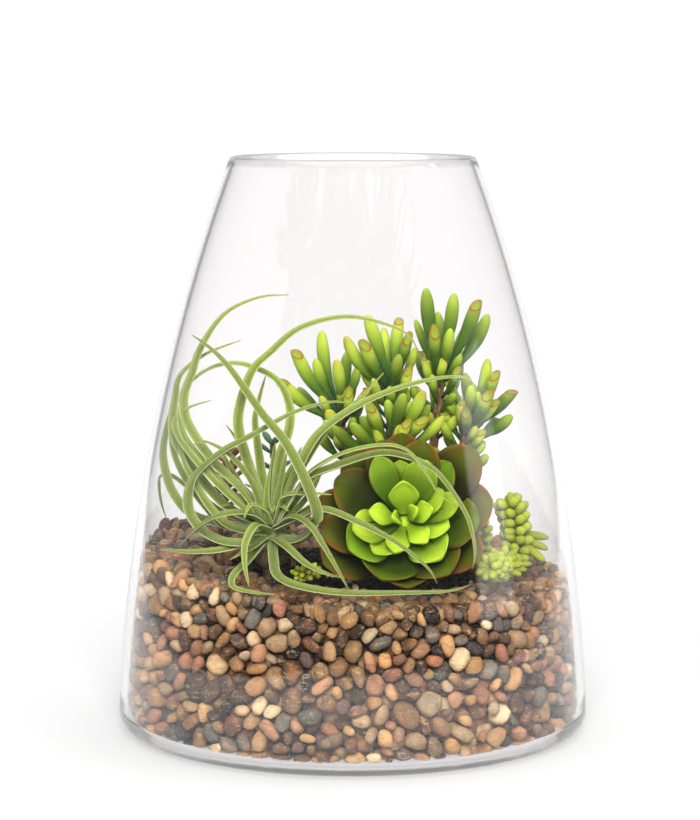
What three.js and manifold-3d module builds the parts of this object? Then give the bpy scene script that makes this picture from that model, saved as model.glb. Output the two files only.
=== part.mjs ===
// Glass plant terrarium: a tapered open jar holding river pebbles, planting soil and small succulents.
// Millimetres, +Z up, origin at the middle of the jar's underside, the planted side facing -Y.
import * as THREE from 'three';
import { mergeVertices } from 'three/addons/utils/BufferGeometryUtils.js';
import Module from 'manifold-3d';

const wasm = await Module();
wasm.setup();

// Driving dimensions of the jar
const jarHeight = 290;
const footRadius = 119.8;
const shoulderRadiusLow = 115.1;
const shoulderRadiusHigh = 97.3;
const mouthRadius = 61.7;
const wallThickness = 3.5;
const floorThickness = 4.5;
const footCorner = 8.9;
const innerCorner = 11;
const jarSides = 40;
const jarBands = 5;
const cornerSteps = 3;

// Driving dimensions of what fills it
const gap = 0.35;
const bedLevel = 84;
const bedSlopeX = -0.07;
const bedSlopeY = 0.04;
const moundAt = [-88, 34];
const moundHeight = 5;
const moundSpread = 34;
const stoneSize = 28;
const stonesAround = 24;
const stoneRows = 3;
const stoneRings = 4;
const reliefDepth = 8;
const bedColumns = 72;
const bedWallRows = 10;
const bedTopRings = [0.93, 0.86, 0.79, 0.71, 0.6, 0];
const bedClearance = 1.1;
const soilAt = [2, -16];
const soilReach = [84, 64];
const soilFoot = 52;
const soilSkirt = 10;
const soilCrown = 7;
const soilRough = 1.2;
const soilSides = 20;
const holeDepth = 14;
const holeSides = 7;

// Colours and finishes
const glassLook = { color: 0xe4ecec, roughness: 0.04, metalness: 0, transparent: true, opacity: 0.3 };
const pebbleLook = { color: 0xa9825c, roughness: 0.55, metalness: 0 };
const soilLook = { color: 0x2b221b, roughness: 0.95, metalness: 0 };
const airPlantLook = { color: 0x94a877, roughness: 0.75, metalness: 0 };
const jadeLook = { color: 0x6f9a2c, roughness: 0.4, metalness: 0 };
const rosetteLook = { color: 0x74962c, roughness: 0.42, metalness: 0 };
const sedumLook = { color: 0xa9bd3c, roughness: 0.45, metalness: 0 };
const tealLook = { color: 0x3d7a5c, roughness: 0.4, metalness: 0 };
const bronzeLook = { color: 0x7a4128, roughness: 0.6, metalness: 0 };

// A repeatable draw from 0 to 1 for the item at an index
function draw(index, channel) {
  const wave = Math.sin(index * 12.9898 + channel * 78.233 + 4.7) * 43758.5453;
  return wave - Math.floor(wave);
}

function mix(a, b, share) {
  return a + (b - a) * share;
}

function solidOf(geometry) {
  const plain = geometry.clone();
  plain.deleteAttribute('normal');
  plain.deleteAttribute('uv');
  const merged = mergeVertices(plain, 1e-4);
  const triangles = [];
  const index = merged.index.array;
  for (let i = 0; i < index.length; i += 3) {
    const [a, b, c] = [index[i], index[i + 1], index[i + 2]];
    if (a !== b && b !== c && c !== a) triangles.push(a, b, c);
  }
  const vertices = new Float32Array(merged.attributes.position.array);
  const mesh = new wasm.Mesh({ numProp: 3, vertProperties: vertices, triVerts: new Uint32Array(triangles) });
  return new wasm.Manifold(mesh);
}

function geometryOf(solid) {
  const { vertProperties, triVerts } = solid.getMesh();
  const geometry = new THREE.BufferGeometry();
  geometry.setAttribute('position', new THREE.BufferAttribute(new Float32Array(vertProperties), 3));
  geometry.setIndex(new THREE.BufferAttribute(new Uint32Array(triVerts), 1));
  return geometry;
}

function joined(solids) {
  return solids.reduce((whole, solid) => whole.add(solid));
}

// The largest body of a cut solid, without the loose crumbs
function mainBody(solid) {
  return solid.decompose().sort((a, b) => b.volume() - a.volume())[0];
}

function moveVertices(geometry, place) {
  const position = geometry.attributes.position;
  const vertex = new THREE.Vector3();
  for (let i = 0; i < position.count; i += 1) {
    vertex.fromBufferAttribute(position, i);
    place(vertex);
    position.setXYZ(i, vertex.x, vertex.y, vertex.z);
  }
  return geometry;
}

// The jar: outer radius at a height, and the round corner of its foot
function outerRadius(z) {
  const t = Math.min(Math.max((z - footCorner) / (jarHeight - footCorner), 0), 1);
  const s = 1 - t;
  const low = s * s * s * footRadius + 3 * s * s * t * shoulderRadiusLow;
  return low + 3 * s * t * t * shoulderRadiusHigh + t * t * t * mouthRadius;
}

// The inner corner's outline, from the floor up to the wall
const innerCornerOutline = Array.from({ length: cornerSteps + 1 }, (_, i) => {
  const turn = (Math.PI / 2) * (i / cornerSteps);
  const wall = outerRadius(innerCorner + floorThickness) - wallThickness;
  const radius = wall - innerCorner * (1 - Math.sin(turn));
  return new THREE.Vector2(radius, floorThickness + innerCorner * (1 - Math.cos(turn)));
});

function innerRadius(z) {
  const above = innerCornerOutline.findIndex((point) => point.y > z);
  if (above < 0) return outerRadius(z) - wallThickness;
  if (above === 0) return innerCornerOutline[0].x;
  const [low, high] = [innerCornerOutline[above - 1], innerCornerOutline[above]];
  return mix(low.x, high.x, (z - low.y) / (high.y - low.y));
}

function glassJar() {
  const profile = [new THREE.Vector2(0, 0)];
  for (let i = 0; i <= cornerSteps; i += 1) {
    const turn = (Math.PI / 2) * (i / cornerSteps);
    const radius = footRadius - footCorner + footCorner * Math.sin(turn);
    profile.push(new THREE.Vector2(radius, footCorner - footCorner * Math.cos(turn)));
  }
  const rimRound = wallThickness / 2;
  const wallTop = jarHeight - rimRound;
  for (let i = 1; i <= jarBands; i += 1) {
    const z = mix(footCorner, wallTop, i / jarBands);
    profile.push(new THREE.Vector2(outerRadius(z), z));
  }
  profile.push(new THREE.Vector2(mouthRadius - rimRound, jarHeight));
  for (let i = jarBands; i >= 1; i -= 1) {
    const z = mix(floorThickness + innerCorner, wallTop, i / jarBands);
    profile.push(new THREE.Vector2(outerRadius(z) - wallThickness, z));
  }
  profile.push(...innerCornerOutline.toReversed());
  profile.push(new THREE.Vector2(0, floorThickness));
  const shell = new THREE.LatheGeometry(profile, jarSides);
  shell.rotateX(Math.PI / 2);
  return geometryOf(solidOf(shell));
}

// The pebble bed: its surface, its core and the stones that cover it
function bedTop(x, y) {
  const away = Math.hypot(x - moundAt[0], y - moundAt[1]) / moundSpread;
  const mound = moundHeight * Math.exp(-away * away);
  return bedLevel + bedSlopeX * x + bedSlopeY * y + mound;
}

function soilShare(x, y) {
  return Math.hypot((x - soilAt[0]) / soilReach[0], (y - soilAt[1]) / soilReach[1]);
}

// The middles of the stones that show at the wall and on top
const stoneMiddles = [];
for (let row = 0; row < stoneRows; row += 1) {
  const around = stonesAround - row;
  for (let i = 0; i < around; i += 1) {
    const index = row * stonesAround + i;
    const z = floorThickness + stoneSize * (0.45 + row + 0.3 * (draw(index, 1) - 0.5));
    const turn = ((i + row * 0.5 + 0.4 * draw(index, 2)) / around) * Math.PI * 2;
    const radius = innerRadius(z);
    stoneMiddles.push(new THREE.Vector3(radius * Math.cos(turn), radius * Math.sin(turn), z));
  }
}
for (let ring = 0; ring < stoneRings; ring += 1) {
  const radius = innerRadius(bedLevel) - stoneSize * (0.45 + ring * 0.9);
  const around = Math.round((radius * Math.PI * 2) / stoneSize);
  for (let i = 0; i < around; i += 1) {
    const index = (stoneRows + ring) * stonesAround + i;
    const turn = ((i + 0.5 * draw(index, 1)) / around) * Math.PI * 2;
    const x = radius * Math.cos(turn);
    const y = radius * Math.sin(turn);
    stoneMiddles.push(new THREE.Vector3(x, y, bedTop(x, y)));
  }
}

// How deep the bed's surface falls between the stones
function reliefAt(point) {
  const nearest = stoneMiddles.reduce((least, middle) => Math.min(least, middle.distanceTo(point)), Infinity);
  const share = Math.min(nearest / (stoneSize * 0.62), 1);
  return reliefDepth * share * share;
}

function pebbleBed(soilRoom) {
  const profile = [new THREE.Vector2(0, 0)];
  for (let row = 0; row <= bedWallRows; row += 1) profile.push(new THREE.Vector2(1, row));
  bedTopRings.forEach((share) => profile.push(new THREE.Vector2(share, bedWallRows + 1)));
  const bed = new THREE.LatheGeometry(profile, bedColumns);
  bed.rotateX(Math.PI / 2);
  moveVertices(bed, (v) => {
    const share = Math.hypot(v.x, v.y);
    const turn = Math.atan2(v.y, v.x);
    const level = Math.round(v.z);
    const edge = innerRadius(bedLevel) - bedClearance;
    const rimTop = bedTop(edge * Math.cos(turn), edge * Math.sin(turn)) - reliefDepth * 0.5;
    const foot = floorThickness + gap;
    const z = mix(foot, rimTop, Math.min(level, bedWallRows) / bedWallRows);
    const reach = (innerRadius(z) - bedClearance) * share;
    const point = new THREE.Vector3(reach * Math.cos(turn), reach * Math.sin(turn), z);
    if (level > bedWallRows) point.z = bedTop(point.x, point.y);
    const relief = level > 0 ? reliefAt(point) : 0;
    if (level > bedWallRows) point.z -= relief;
    else point.multiply(new THREE.Vector3(1 - relief / edge, 1 - relief / edge, 1));
    v.copy(point);
  });
  return mainBody(solidOf(bed).subtract(soilRoom));
}

// The planting soil, an oval mound with a rough crown
function soilSolid(grow) {
  const profile = [
    new THREE.Vector2(0, 0),
    new THREE.Vector2(0.86, 0),
    new THREE.Vector2(1, 1),
    new THREE.Vector2(1, 2),
    new THREE.Vector2(0.6, 3),
    new THREE.Vector2(0, 3),
  ];
  const mound = new THREE.LatheGeometry(profile, soilSides);
  mound.rotateX(Math.PI / 2);
  moveVertices(mound, (v) => {
    const share = Math.hypot(v.x, v.y);
    const level = Math.round(v.z);
    v.x = soilAt[0] + v.x * (soilReach[0] + grow);
    v.y = soilAt[1] + v.y * (soilReach[1] + grow);
    if (level === 0) v.z = soilFoot - grow;
    else if (level === 1) v.z = soilFoot + soilSkirt;
    else v.z = soilTopAt(v.x, v.y, Math.min(share, 1)) + grow * 12;
  });
  return solidOf(mound);
}

// A four-sided blade laid along a path, channelled on its upper face
const facing = new THREE.Vector3(0, -0.6, 0.8);

function bladeBlock(steps) {
  const block = new THREE.CylinderGeometry(1, 1, 1, 4, steps);
  const index = block.index.array;
  const columns = 5;
  for (let x = 1; x < 4; x += 2) {
    for (let y = 0; y < steps; y += 1) {
      const at = (x * steps + y) * 6;
      const a = y * columns + x;
      const b = (y + 1) * columns + x;
      const c = (y + 1) * columns + x + 1;
      const d = y * columns + x + 1;
      [a, b, c, a, c, d].forEach((vertex, i) => {
        index[at + i] = vertex;
      });
    }
  }
  return block;
}

function bladeAlong(curve, steps, frameAt, sectionAt, ease = 1) {
  const block = bladeBlock(steps);
  moveVertices(block, (v) => {
    const u = 1 - Math.pow(1 - Math.min(Math.max(v.y + 0.5, 0), 1), ease);
    const place = curve.getPointAt(u);
    const along = curve.getTangentAt(u);
    const face = frameAt(along, u);
    const side = new THREE.Vector3().crossVectors(along, face).normalize();
    const { width, lift, thick } = sectionAt(u);
    const share = Math.min(Math.abs(v.x), 1);
    const middle = -lift / 2 + (thick * (1 + v.z)) / 2;
    const height = share * (lift / 2) + (1 - share) * middle;
    v.copy(place.addScaledVector(side, (v.x * width) / 2).addScaledVector(face, height));
  });
  return solidOf(block);
}

function faceTowards(direction) {
  return (along) => {
    const face = direction.clone();
    return face.addScaledVector(along, -face.dot(along)).normalize();
  };
}

function curveThrough(points) {
  return new THREE.CatmullRomCurve3(points.map((p) => new THREE.Vector3(...p)), false, 'centripetal');
}

function tubeAlong(points, radiusAt, sides, steps) {
  const curve = curveThrough(points);
  const tube = new THREE.CylinderGeometry(1, 1, 1, sides, steps);
  const frameAt = faceTowards(new THREE.Vector3(0.3, 0.9, 0.3).normalize());
  moveVertices(tube, (v) => {
    const u = Math.min(Math.max(v.y + 0.5, 0), 1);
    const along = curve.getTangentAt(u);
    const face = frameAt(along);
    const side = new THREE.Vector3().crossVectors(along, face);
    const radius = radiusAt(u);
    v.copy(curve.getPointAt(u).addScaledVector(side, v.x * radius).addScaledVector(face, v.z * radius));
  });
  return solidOf(tube);
}

const fingerSides = 5;
const mouthSlant = 0.8;

// A round leaf standing from its root to its tip, cut off slanting and hollow at the end when dished
function finger(root, tip, girth, dished) {
  const from = new THREE.Vector3(...root);
  const reach = new THREE.Vector3(...tip).sub(from);
  const length = reach.length();
  const r = girth / 2;
  const end = dished ? 0.88 : 1;
  const profile = [
    new THREE.Vector2(0, 0),
    new THREE.Vector2(r * 0.5, 0),
    new THREE.Vector2(r, length * 0.7),
    new THREE.Vector2(r * (dished ? 0.86 : 0.66), length * 0.93),
    new THREE.Vector2(0, length * end),
  ];
  const leaf = new THREE.LatheGeometry(profile, fingerSides);
  if (dished) {
    moveVertices(leaf, (v) => {
      if (v.y > length * 0.8) v.y -= v.z * mouthSlant;
    });
  }
  const upright = new THREE.Vector3(0, 1, 0);
  leaf.applyQuaternion(new THREE.Quaternion().setFromUnitVectors(upright, reach.clone().normalize()));
  leaf.translate(from.x, from.y, from.z);
  return solidOf(leaf);
}

// The soil holes that the stems stand in, as [x, y, radius]
const holes = [];

function rootedStem(x, y, radius) {
  holes.push([x, y, radius]);
  return soilTopAt(x, y) - holeDepth;
}

function soilTopAt(x, y, share = soilShare(x, y)) {
  const rough = soilRough * Math.sin(x * 0.35) * Math.cos(y * 0.41);
  return bedTop(x, y) - 5 + soilCrown * (1 - share * share) + rough * (1 - share);
}

function soilHole([x, y, radius]) {
  const foot = soilTopAt(x, y) - holeDepth - gap;
  const room = (radius + gap) / Math.cos(Math.PI / holeSides);
  const length = holeDepth * 4;
  const drill = new THREE.CylinderGeometry(room, room, length, holeSides);
  drill.rotateX(Math.PI / 2);
  drill.translate(x, y, foot + length / 2);
  return solidOf(drill);
}

// The air plant: a bulb from which channelled leaves arch, each as its width and the points of its path
const airPlantHeart = [-40, -50, 104];
const airPlantStem = 5.5;
const bladePitch = 18;
const airPlantLeaves = [
  [5.0, [[-42, -50, 114], [-53, -52, 127], [-68, -52, 142], [-75, -50, 152], [-81, -42, 162], [-82, -35, 172],
    [-78, -32, 184], [-75, -30, 194], [-63, -22, 212], [-46, -18, 220], [-32, -15, 221]]],
  [5.6, [[-38, -56, 105], [-28, -66, 105], [-20, -76, 111], [-17, -82, 119], [-20, -84, 131], [-32, -80, 155],
    [-43, -74, 168], [-60, -58, 190], [-70, -44, 198], [-78, -30, 202]]],
  [4.2, [[-44, -54, 112], [-55, -60, 122], [-67, -60, 134], [-78, -54, 146], [-85, -44, 155], [-86, -38, 161],
    [-80, -40, 167], [-69, -40, 171]]],
  [4.8, [[-38, -48, 114], [-36, -45, 141], [-31, -40, 157], [-31, -38, 167], [-37, -38, 180], [-49, -38, 187],
    [-58, -38, 189], [-68, -36, 187], [-77, -31, 181], [-84, -24, 172]]],
  [5.0, [[-41, -49, 112], [-49, -52, 135], [-55, -53, 156], [-55, -53, 166], [-48, -51, 187], [-40, -50, 195],
    [-26, -50, 207], [-4, -50, 213], [14, -50, 210], [27, -50, 204], [32, -50, 196]]],
  [5.0, [[-42, -58, 106], [-52, -66, 104], [-64, -65, 105], [-73, -63, 110], [-79, -58, 119], [-77, -58, 133],
    [-62, -66, 149], [-50, -68, 156], [-26, -66, 169], [-8, -62, 173], [0, -58, 171]]],
  [5.2, [[-38, -54, 112], [-32, -60, 125], [-26, -66, 140], [-16, -70, 158], [5, -70, 173], [29, -66, 182],
    [48, -62, 185], [55, -60, 184], [60, -58, 179]]],
  [4.8, [[-37, -56, 112], [-28, -66, 127], [-20, -76, 138], [-8, -82, 144], [14, -86, 151], [26, -86, 149],
    [38, -85, 143], [49, -83, 129], [55, -83, 118], [58, -84, 103], [57, -84, 95]]],
  [3.0, [[-36, -57, 113], [-26, -70, 132], [-18, -81, 143], [-1, -91, 153], [17, -93, 156], [26, -92, 153],
    [34, -91, 143], [40, -89, 133], [48, -87, 126]]],
  [4.4, [[-37, -58, 110], [-26, -70, 117], [-14, -81, 123], [2, -87, 118], [20, -91, 109], [36, -91, 96],
    [40, -90, 89]]],
  [4.0, [[-38, -58, 111], [-29, -72, 118], [-20, -87, 116], [-14, -93, 108], [-6, -98, 95], [-2, -100, 88]]],
  [4.6, [[-39, -58, 103], [-38, -72, 96], [-36, -82, 91], [-28, -90, 88], [-7, -94, 85], [26, -94, 85],
    [47, -93, 86], [56, -88, 88]]],
  [4.4, [[-38, -58, 105], [-31, -74, 103], [-22, -84, 97], [-12, -88, 93], [-4, -87, 91]]],
  [4.4, [[-41, -58, 110], [-47, -76, 114], [-51, -84, 107], [-51, -89, 97], [-49, -92, 88]]],
  [4.0, [[-44, -60, 103], [-51, -74, 96], [-57, -84, 91], [-57, -88, 87], [-48, -92, 85], [-37, -97, 85]]],
  [4.4, [[-44, -56, 105], [-62, -66, 101], [-75, -62, 99], [-85, -54, 98], [-95, -42, 97]]],
  [4.2, [[-43, -56, 112], [-50, -68, 119], [-62, -77, 120], [-71, -72, 115], [-78, -65, 108],
    [-83, -58, 102]]],
  [5.2, [[-45, -52, 108], [-58, -48, 109], [-73, -40, 111], [-82, -32, 114], [-89, -26, 122], [-93, -20, 131],
    [-95, -14, 141], [-94, -10, 151], [-90, -10, 164], [-82, -12, 176], [-75, -12, 183]]],
  [4.6, [[-45, -54, 109], [-62, -53, 110], [-70, -48, 117], [-83, -37, 133], [-88, -30, 143], [-90, -24, 152],
    [-90, -22, 158], [-87, -20, 163]]],
  [5.0, [[-44, -53, 111], [-60, -50, 118], [-70, -46, 127], [-86, -34, 148], [-89, -24, 157], [-88, -18, 170],
    [-85, -19, 181], [-74, -20, 191], [-65, -17, 195], [-56, -14, 198]]],
  [4.6, [[-44, -52, 112], [-58, -52, 124], [-74, -50, 143], [-82, -46, 155], [-84, -38, 167],
    [-82, -33, 173]]],
  [4.6, [[-42, -48, 112], [-44, -45, 130], [-47, -40, 151], [-48, -36, 161], [-46, -33, 171],
    [-43, -30, 182]]],
  [3.6, [[-43, -50, 112], [-50, -47, 135], [-57, -43, 152], [-62, -41, 159]]],
  [4.2, [[-43, -52, 113], [-49, -56, 132], [-59, -60, 146], [-66, -60, 151], [-72, -58, 153],
    [-76, -57, 151]]],
  [4.6, [[-44, -55, 107], [-60, -58, 111], [-69, -57, 120], [-76, -54, 131], [-82, -49, 143],
    [-85, -42, 154]]],
  [3.4, [[-46, -48, 109], [-64, -30, 113], [-74, -20, 118], [-84, -12, 124], [-93, -6, 129], [-98, -2, 128],
    [-99, 0, 121], [-98, 3, 112], [-96, 7, 104]]],
  [3.6, [[-38, -54, 113], [-35, -62, 123], [-32, -68, 128], [-18, -75, 130], [-10, -78, 130]]],
  [3.4, [[-40, -57, 112], [-43, -67, 121], [-49, -73, 124], [-52, -77, 118]]],
  [3.6, [[-41, -51, 112], [-42, -54, 125], [-40, -56, 140]]],
  [4.0, [[-39, -51, 112], [-35, -55, 132], [-32, -53, 147]]],
  [3.8, [[-44, -54, 112], [-52, -61, 126], [-60, -67, 136], [-65, -68, 138]]],
  [3.6, [[-42, -57, 106], [-48, -72, 103], [-53, -82, 102], [-58, -87, 100]]],
  [4.4, [[-44, -44, 108], [-51, -26, 113], [-57, -6, 117], [-66, 14, 117], [-74, 24, 113]]],
  [4.4, [[-42, -42, 107], [-46, -22, 111], [-50, 2, 110], [-56, 22, 104], [-60, 32, 101]]],
  [4.0, [[-38, -43, 107], [-32, -28, 112], [-28, -10, 113], [-28, 6, 108]]],
];

function airPlantWidth(u) {
  return 1.08 - 0.9 * Math.pow(u, 2.2);
}

function airPlant() {
  const [x, y, z] = airPlantHeart;
  const foot = rootedStem(x, y, airPlantStem);
  const bulb = [[x, y, foot], [x, y, mix(foot, z, 0.6)], [x, y, z + 9]];
  const swell = (u) => (u > 0.5 ? 1 + 0.55 * Math.sin(u * Math.PI) ** 3 : 1);
  const solids = [tubeAlong(bulb, (u) => airPlantStem * swell(u), 8, 5)];
  airPlantLeaves.forEach(([width, points]) => {
    const curve = curveThrough(points);
    const steps = Math.min(Math.max(Math.round(curve.getLength() / bladePitch), 3), 9);
    const section = (u) => {
      const share = airPlantWidth(u);
      return { width: width * share, lift: width * share * 0.5, thick: Math.max(1.3 * share, 0.7) };
    };
    solids.push(bladeAlong(curve, steps, faceTowards(facing), section));
  });
  return mainBody(joined(solids));
}

// Finger jade: each stem with its leaves, as tip, height of the root on the stem, girth and dished end
const jadeStems = {
  finger_jade_middle: {
    stem: [[36, 6], [[40, 2, 131], [42, 0, 151], [44, 1, 167], [44, 0, 179]]],
    leaves: [
      [[37, 4, 223], 176, 7.0, 0], [[52, 10, 220], 178, 6.6, 0],
      [[63, -4, 218], 178, 6.8, 1], [[70, 14, 209], 174, 6.8, 0],
      [[41, -18, 205], 174, 6.4, 1], [[49, -13, 204], 173, 6.2, 0],
      [[32, 16, 206], 174, 4.6, 0], [[57, 24, 200], 174, 5.0, 0],
      [[44, 26, 209], 176, 6.2, 0], [[34, 30, 190], 168, 6.0, 1],
      [[56, 32, 184], 166, 6.2, 0],
    ],
  },
  finger_jade_centre: {
    stem: [[19, 8], [[19, 2, 132], [19, -4, 152], [20, -5, 165], [21, -4, 175]]],
    leaves: [
      [[7, -2, 210], 172, 6.8, 0], [[5, -24, 199], 170, 6.6, 1],
      [[-4, -13, 200], 169, 6.8, 0], [[16, 22, 201], 173, 6.0, 0],
      [[11, 14, 195], 170, 5.8, 1], [[23, -26, 192], 168, 6.2, 0],
      [[24, 12, 208], 173, 6.2, 1], [[28, -22, 202], 173, 6.2, 1],
      [[3, 24, 186], 164, 6.2, 0], [[24, 30, 184], 164, 6.0, 0],
      [[10, -34, 181], 162, 5.2, 0],
    ],
  },
  finger_jade_left: {
    stem: [[-4, -2], [[-3, -8, 132], [-5, -11, 148], [-6, -11, 158], [-6, -8, 167]]],
    leaves: [
      [[-29, -14, 194], 160, 6.6, 1], [[-16, 8, 201], 163, 6.6, 0],
      [[-8, -28, 190], 160, 6.4, 0], [[-3, 8, 190], 162, 5.6, 0],
      [[-19, -4, 188], 162, 5.8, 0], [[-37, -22, 180], 156, 6.4, 1],
      [[-28, 6, 172], 154, 5.6, 0], [[-16, 22, 180], 156, 6.2, 0],
      [[-3, 24, 172], 154, 6.0, 1], [[-2, -34, 176], 154, 5.4, 1],
    ],
  },
  finger_jade_front: {
    stem: [[10, -18], [[14, -24, 112], [17, -29, 128], [19, -33, 143], [20, -34, 151]]],
    leaves: [
      [[8, -44, 170], 146, 6.2, 1], [[25, -44, 175], 146, 6.2, 0],
      [[35, -41, 176], 147, 6.4, 0], [[38, -33, 168], 146, 5.2, 0],
      [[35, -46, 163], 145, 6.0, 1], [[27, -49, 162], 144, 5.4, 1],
      [[45, -38, 163], 143, 5.8, 0], [[-1, -42, 160], 141, 6.0, 0],
      [[-10, -38, 158], 139, 5.8, 0], [[17, -36, 171], 147, 5.6, 0],
      [[4, -38, 163], 144, 5.6, 0],
    ],
  },
  finger_jade_right: {
    stem: [[52, 0], [[54, -4, 128], [56, -6, 143], [58, -6, 154], [61, -4, 164]]],
    leaves: [
      [[69, 4, 187], 158, 6.2, 0], [[72, -10, 182], 156, 6.2, 1],
      [[68, -23, 173], 152, 6.6, 1], [[83, 4, 172], 150, 6.8, 1],
      [[81, -4, 159], 146, 6.4, 0], [[59, -20, 176], 154, 6.0, 0],
      [[72, 22, 172], 151, 6.4, 0], [[76, 18, 156], 145, 6.0, 1],
      [[58, 20, 178], 154, 6.0, 0], [[56, -30, 165], 149, 6.0, 1],
    ],
  },
};

const jadeStemRadius = 2.6;

function fingerJade({ stem: [[x, y], path], leaves }) {
  const radius = jadeStemRadius;
  const foot = rootedStem(x, y, radius);
  const points = [[x, y, foot], [x, y, foot + holeDepth + 4], ...path];
  const solids = [tubeAlong(points, (u) => radius * (1 - 0.12 * u), 5, 6)];
  const axis = curveThrough(points).getPoints(80);
  leaves.forEach(([tip, rootHeight, girth, dished]) => {
    const near = axis.reduce((a, b) => (Math.abs(a.z - rootHeight) < Math.abs(b.z - rootHeight) ? a : b));
    const out = new THREE.Vector3(...tip).sub(near).normalize();
    const root = near.clone().addScaledVector(out, radius * 0.4);
    solids.push(finger(root.toArray(), tip, girth, dished === 1));
  });
  return mainBody(joined(solids));
}

// The echeveria rosette: leaves as clock angle, reach, width, how far the root sits back and the tip forward
const rosetteAt = [25, -62, 115];
const rosetteFace = new THREE.Vector3(0, -0.91, 0.41);
const rosetteLeaves = [
  [20, 6, 8, 0, 15], [200, 6, 8, 0, 15], [93, 15, 15, 0, 14],
  [176, 17, 11, 1, 13], [12, 13, 11, 1, 13], [256, 20, 12, 1, 13], [-52, 17, 12, 1, 12],
  [117, 31, 15, 2, 12], [95, 28, 15, 3, 10], [68, 28, 18, 2, 12], [34, 22, 13, 3, 9], [15, 27, 14, 2, 11],
  [-14, 22, 15, 3, 9], [196, 26, 18, 3, 10], [232, 24, 15, 3, 9],
  [-52, 28, 22, 5, 9], [214, 32, 25, 5, 9], [50, 34, 18, 6, 8], [76, 38, 22, 6, 7], [108, 39, 22, 6, 7],
  [152, 38, 25, 6, 8], [194, 41, 23, 6, 9], [252, 35, 30, 6, 10], [-56, 37, 27, 7, 10], [-4, 36, 27, 6, 8],
  [44, 48, 26, 11, 3], [11, 43, 28, 11, 5], [214, 46, 29, 11, 8], [130, 43, 24, 12, 2], [-32, 42, 26, 12, 5],
  [-88, 37, 27, 12, 7], [172, 44, 24, 12, 3], [92, 43, 22, 13, 0],
];

function rosetteWidth(u) {
  const swell = 0.3 + 0.7 * Math.sin(Math.min(u / 0.66, 1) * Math.PI * 0.5) ** 1.6;
  const point = u < 0.66 ? 1 : Math.max(1 - ((u - 0.66) / 0.34) ** 2.1 * 0.9, 0.1);
  return swell * point;
}

function rosette() {
  const [cx, cy, cz] = rosetteAt;
  const radius = 4.5;
  const rootX = 26;
  const rootY = -34;
  const foot = rootedStem(rootX, rootY, radius);
  const path = [
    [rootX, rootY, foot], [rootX, rootY, foot + holeDepth - 2], [rootX, rootY - 1, foot + holeDepth + 8],
    [cx, cy + 15, cz - 5], [cx, cy - 2, cz],
  ];
  const solids = [tubeAlong(path, (u) => radius * (1 + Math.max(u - 0.4, 0)), 7, 7)];
  rosetteLeaves.forEach(([clock, reach, width, back, forward]) => {
    const turn = (clock * Math.PI) / 180;
    const out = new THREE.Vector3(Math.cos(turn), 0, Math.sin(turn));
    const bend = (u) => -back + (back + forward) * Math.pow(u, 1.5);
    const points = [Math.min(3 / reach, 0.3), 0.4, 0.72, 1].map((u) => {
      const point = new THREE.Vector3(cx, cy, cz).addScaledVector(out, reach * u);
      return point.addScaledVector(rosetteFace, bend(u)).toArray();
    });
    const inward = out.clone().multiplyScalar(-0.45).add(rosetteFace).normalize();
    const section = (u) => {
      const share = rosetteWidth(u);
      return { width: width * share, lift: width * share * 0.26, thick: Math.max(2.6 * share, 0.8) };
    };
    solids.push(bladeAlong(curveThrough(points), reach < 24 ? 3 : 4, faceTowards(inward), section, 1.5));
  });
  return mainBody(joined(solids));
}

// A plump leaf standing out from a stem, its root sunk into it
function bead(at, out, stemRadius, size) {
  const length = size * 1.4 + 1;
  const profile = [
    new THREE.Vector2(0, 0),
    new THREE.Vector2(size * 0.11, 0),
    new THREE.Vector2(size * 0.42, length * 0.7),
    new THREE.Vector2(0, length),
  ];
  const leaf = new THREE.LatheGeometry(profile, 4);
  leaf.applyQuaternion(new THREE.Quaternion().setFromUnitVectors(new THREE.Vector3(0, 1, 0), out));
  const root = at.clone().addScaledVector(out, stemRadius - 0.6);
  leaf.translate(root.x, root.y, root.z);
  return solidOf(leaf);
}

// Sedum stems: bead leaves in rings round a stem, some with long pointed leaves as well
const sedumRadius = 1.8;
const sedums = {
  sedum_front_tail: {
    root: [71, -44],
    path: [[73, -49, 92], [72, -55, 91], [70, -60, 91], [67, -64, 92]],
    rings: 5, perRing: 5, size: 7.0, seed: 11, pointed: [],
  },
  sedum_back_tail: {
    root: [80, -16],
    path: [[81, -16, 88], [83, -17, 98], [81, -18, 108], [79, -18, 114]],
    rings: 4, perRing: 5, size: 8.6, seed: 31,
    pointed: [[79, -16, 122], [88, -14, 117], [99, -14, 98], [98, -19, 93], [96, -25, 88]],
  },
  sedum_tuft: {
    root: [62, -29],
    path: [[62, -33, 92], [64, -34, 101], [63, -36, 108]],
    rings: 3, perRing: 4, size: 6.0, seed: 51, pointed: [],
  },
  creeping_sedum: {
    root: [-27, -65],
    path: [[-26, -68, 89], [-23, -72, 91], [-19, -74, 92]],
    rings: 3, perRing: 4, size: 4.2, seed: 71, pointed: [],
  },
};

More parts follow.
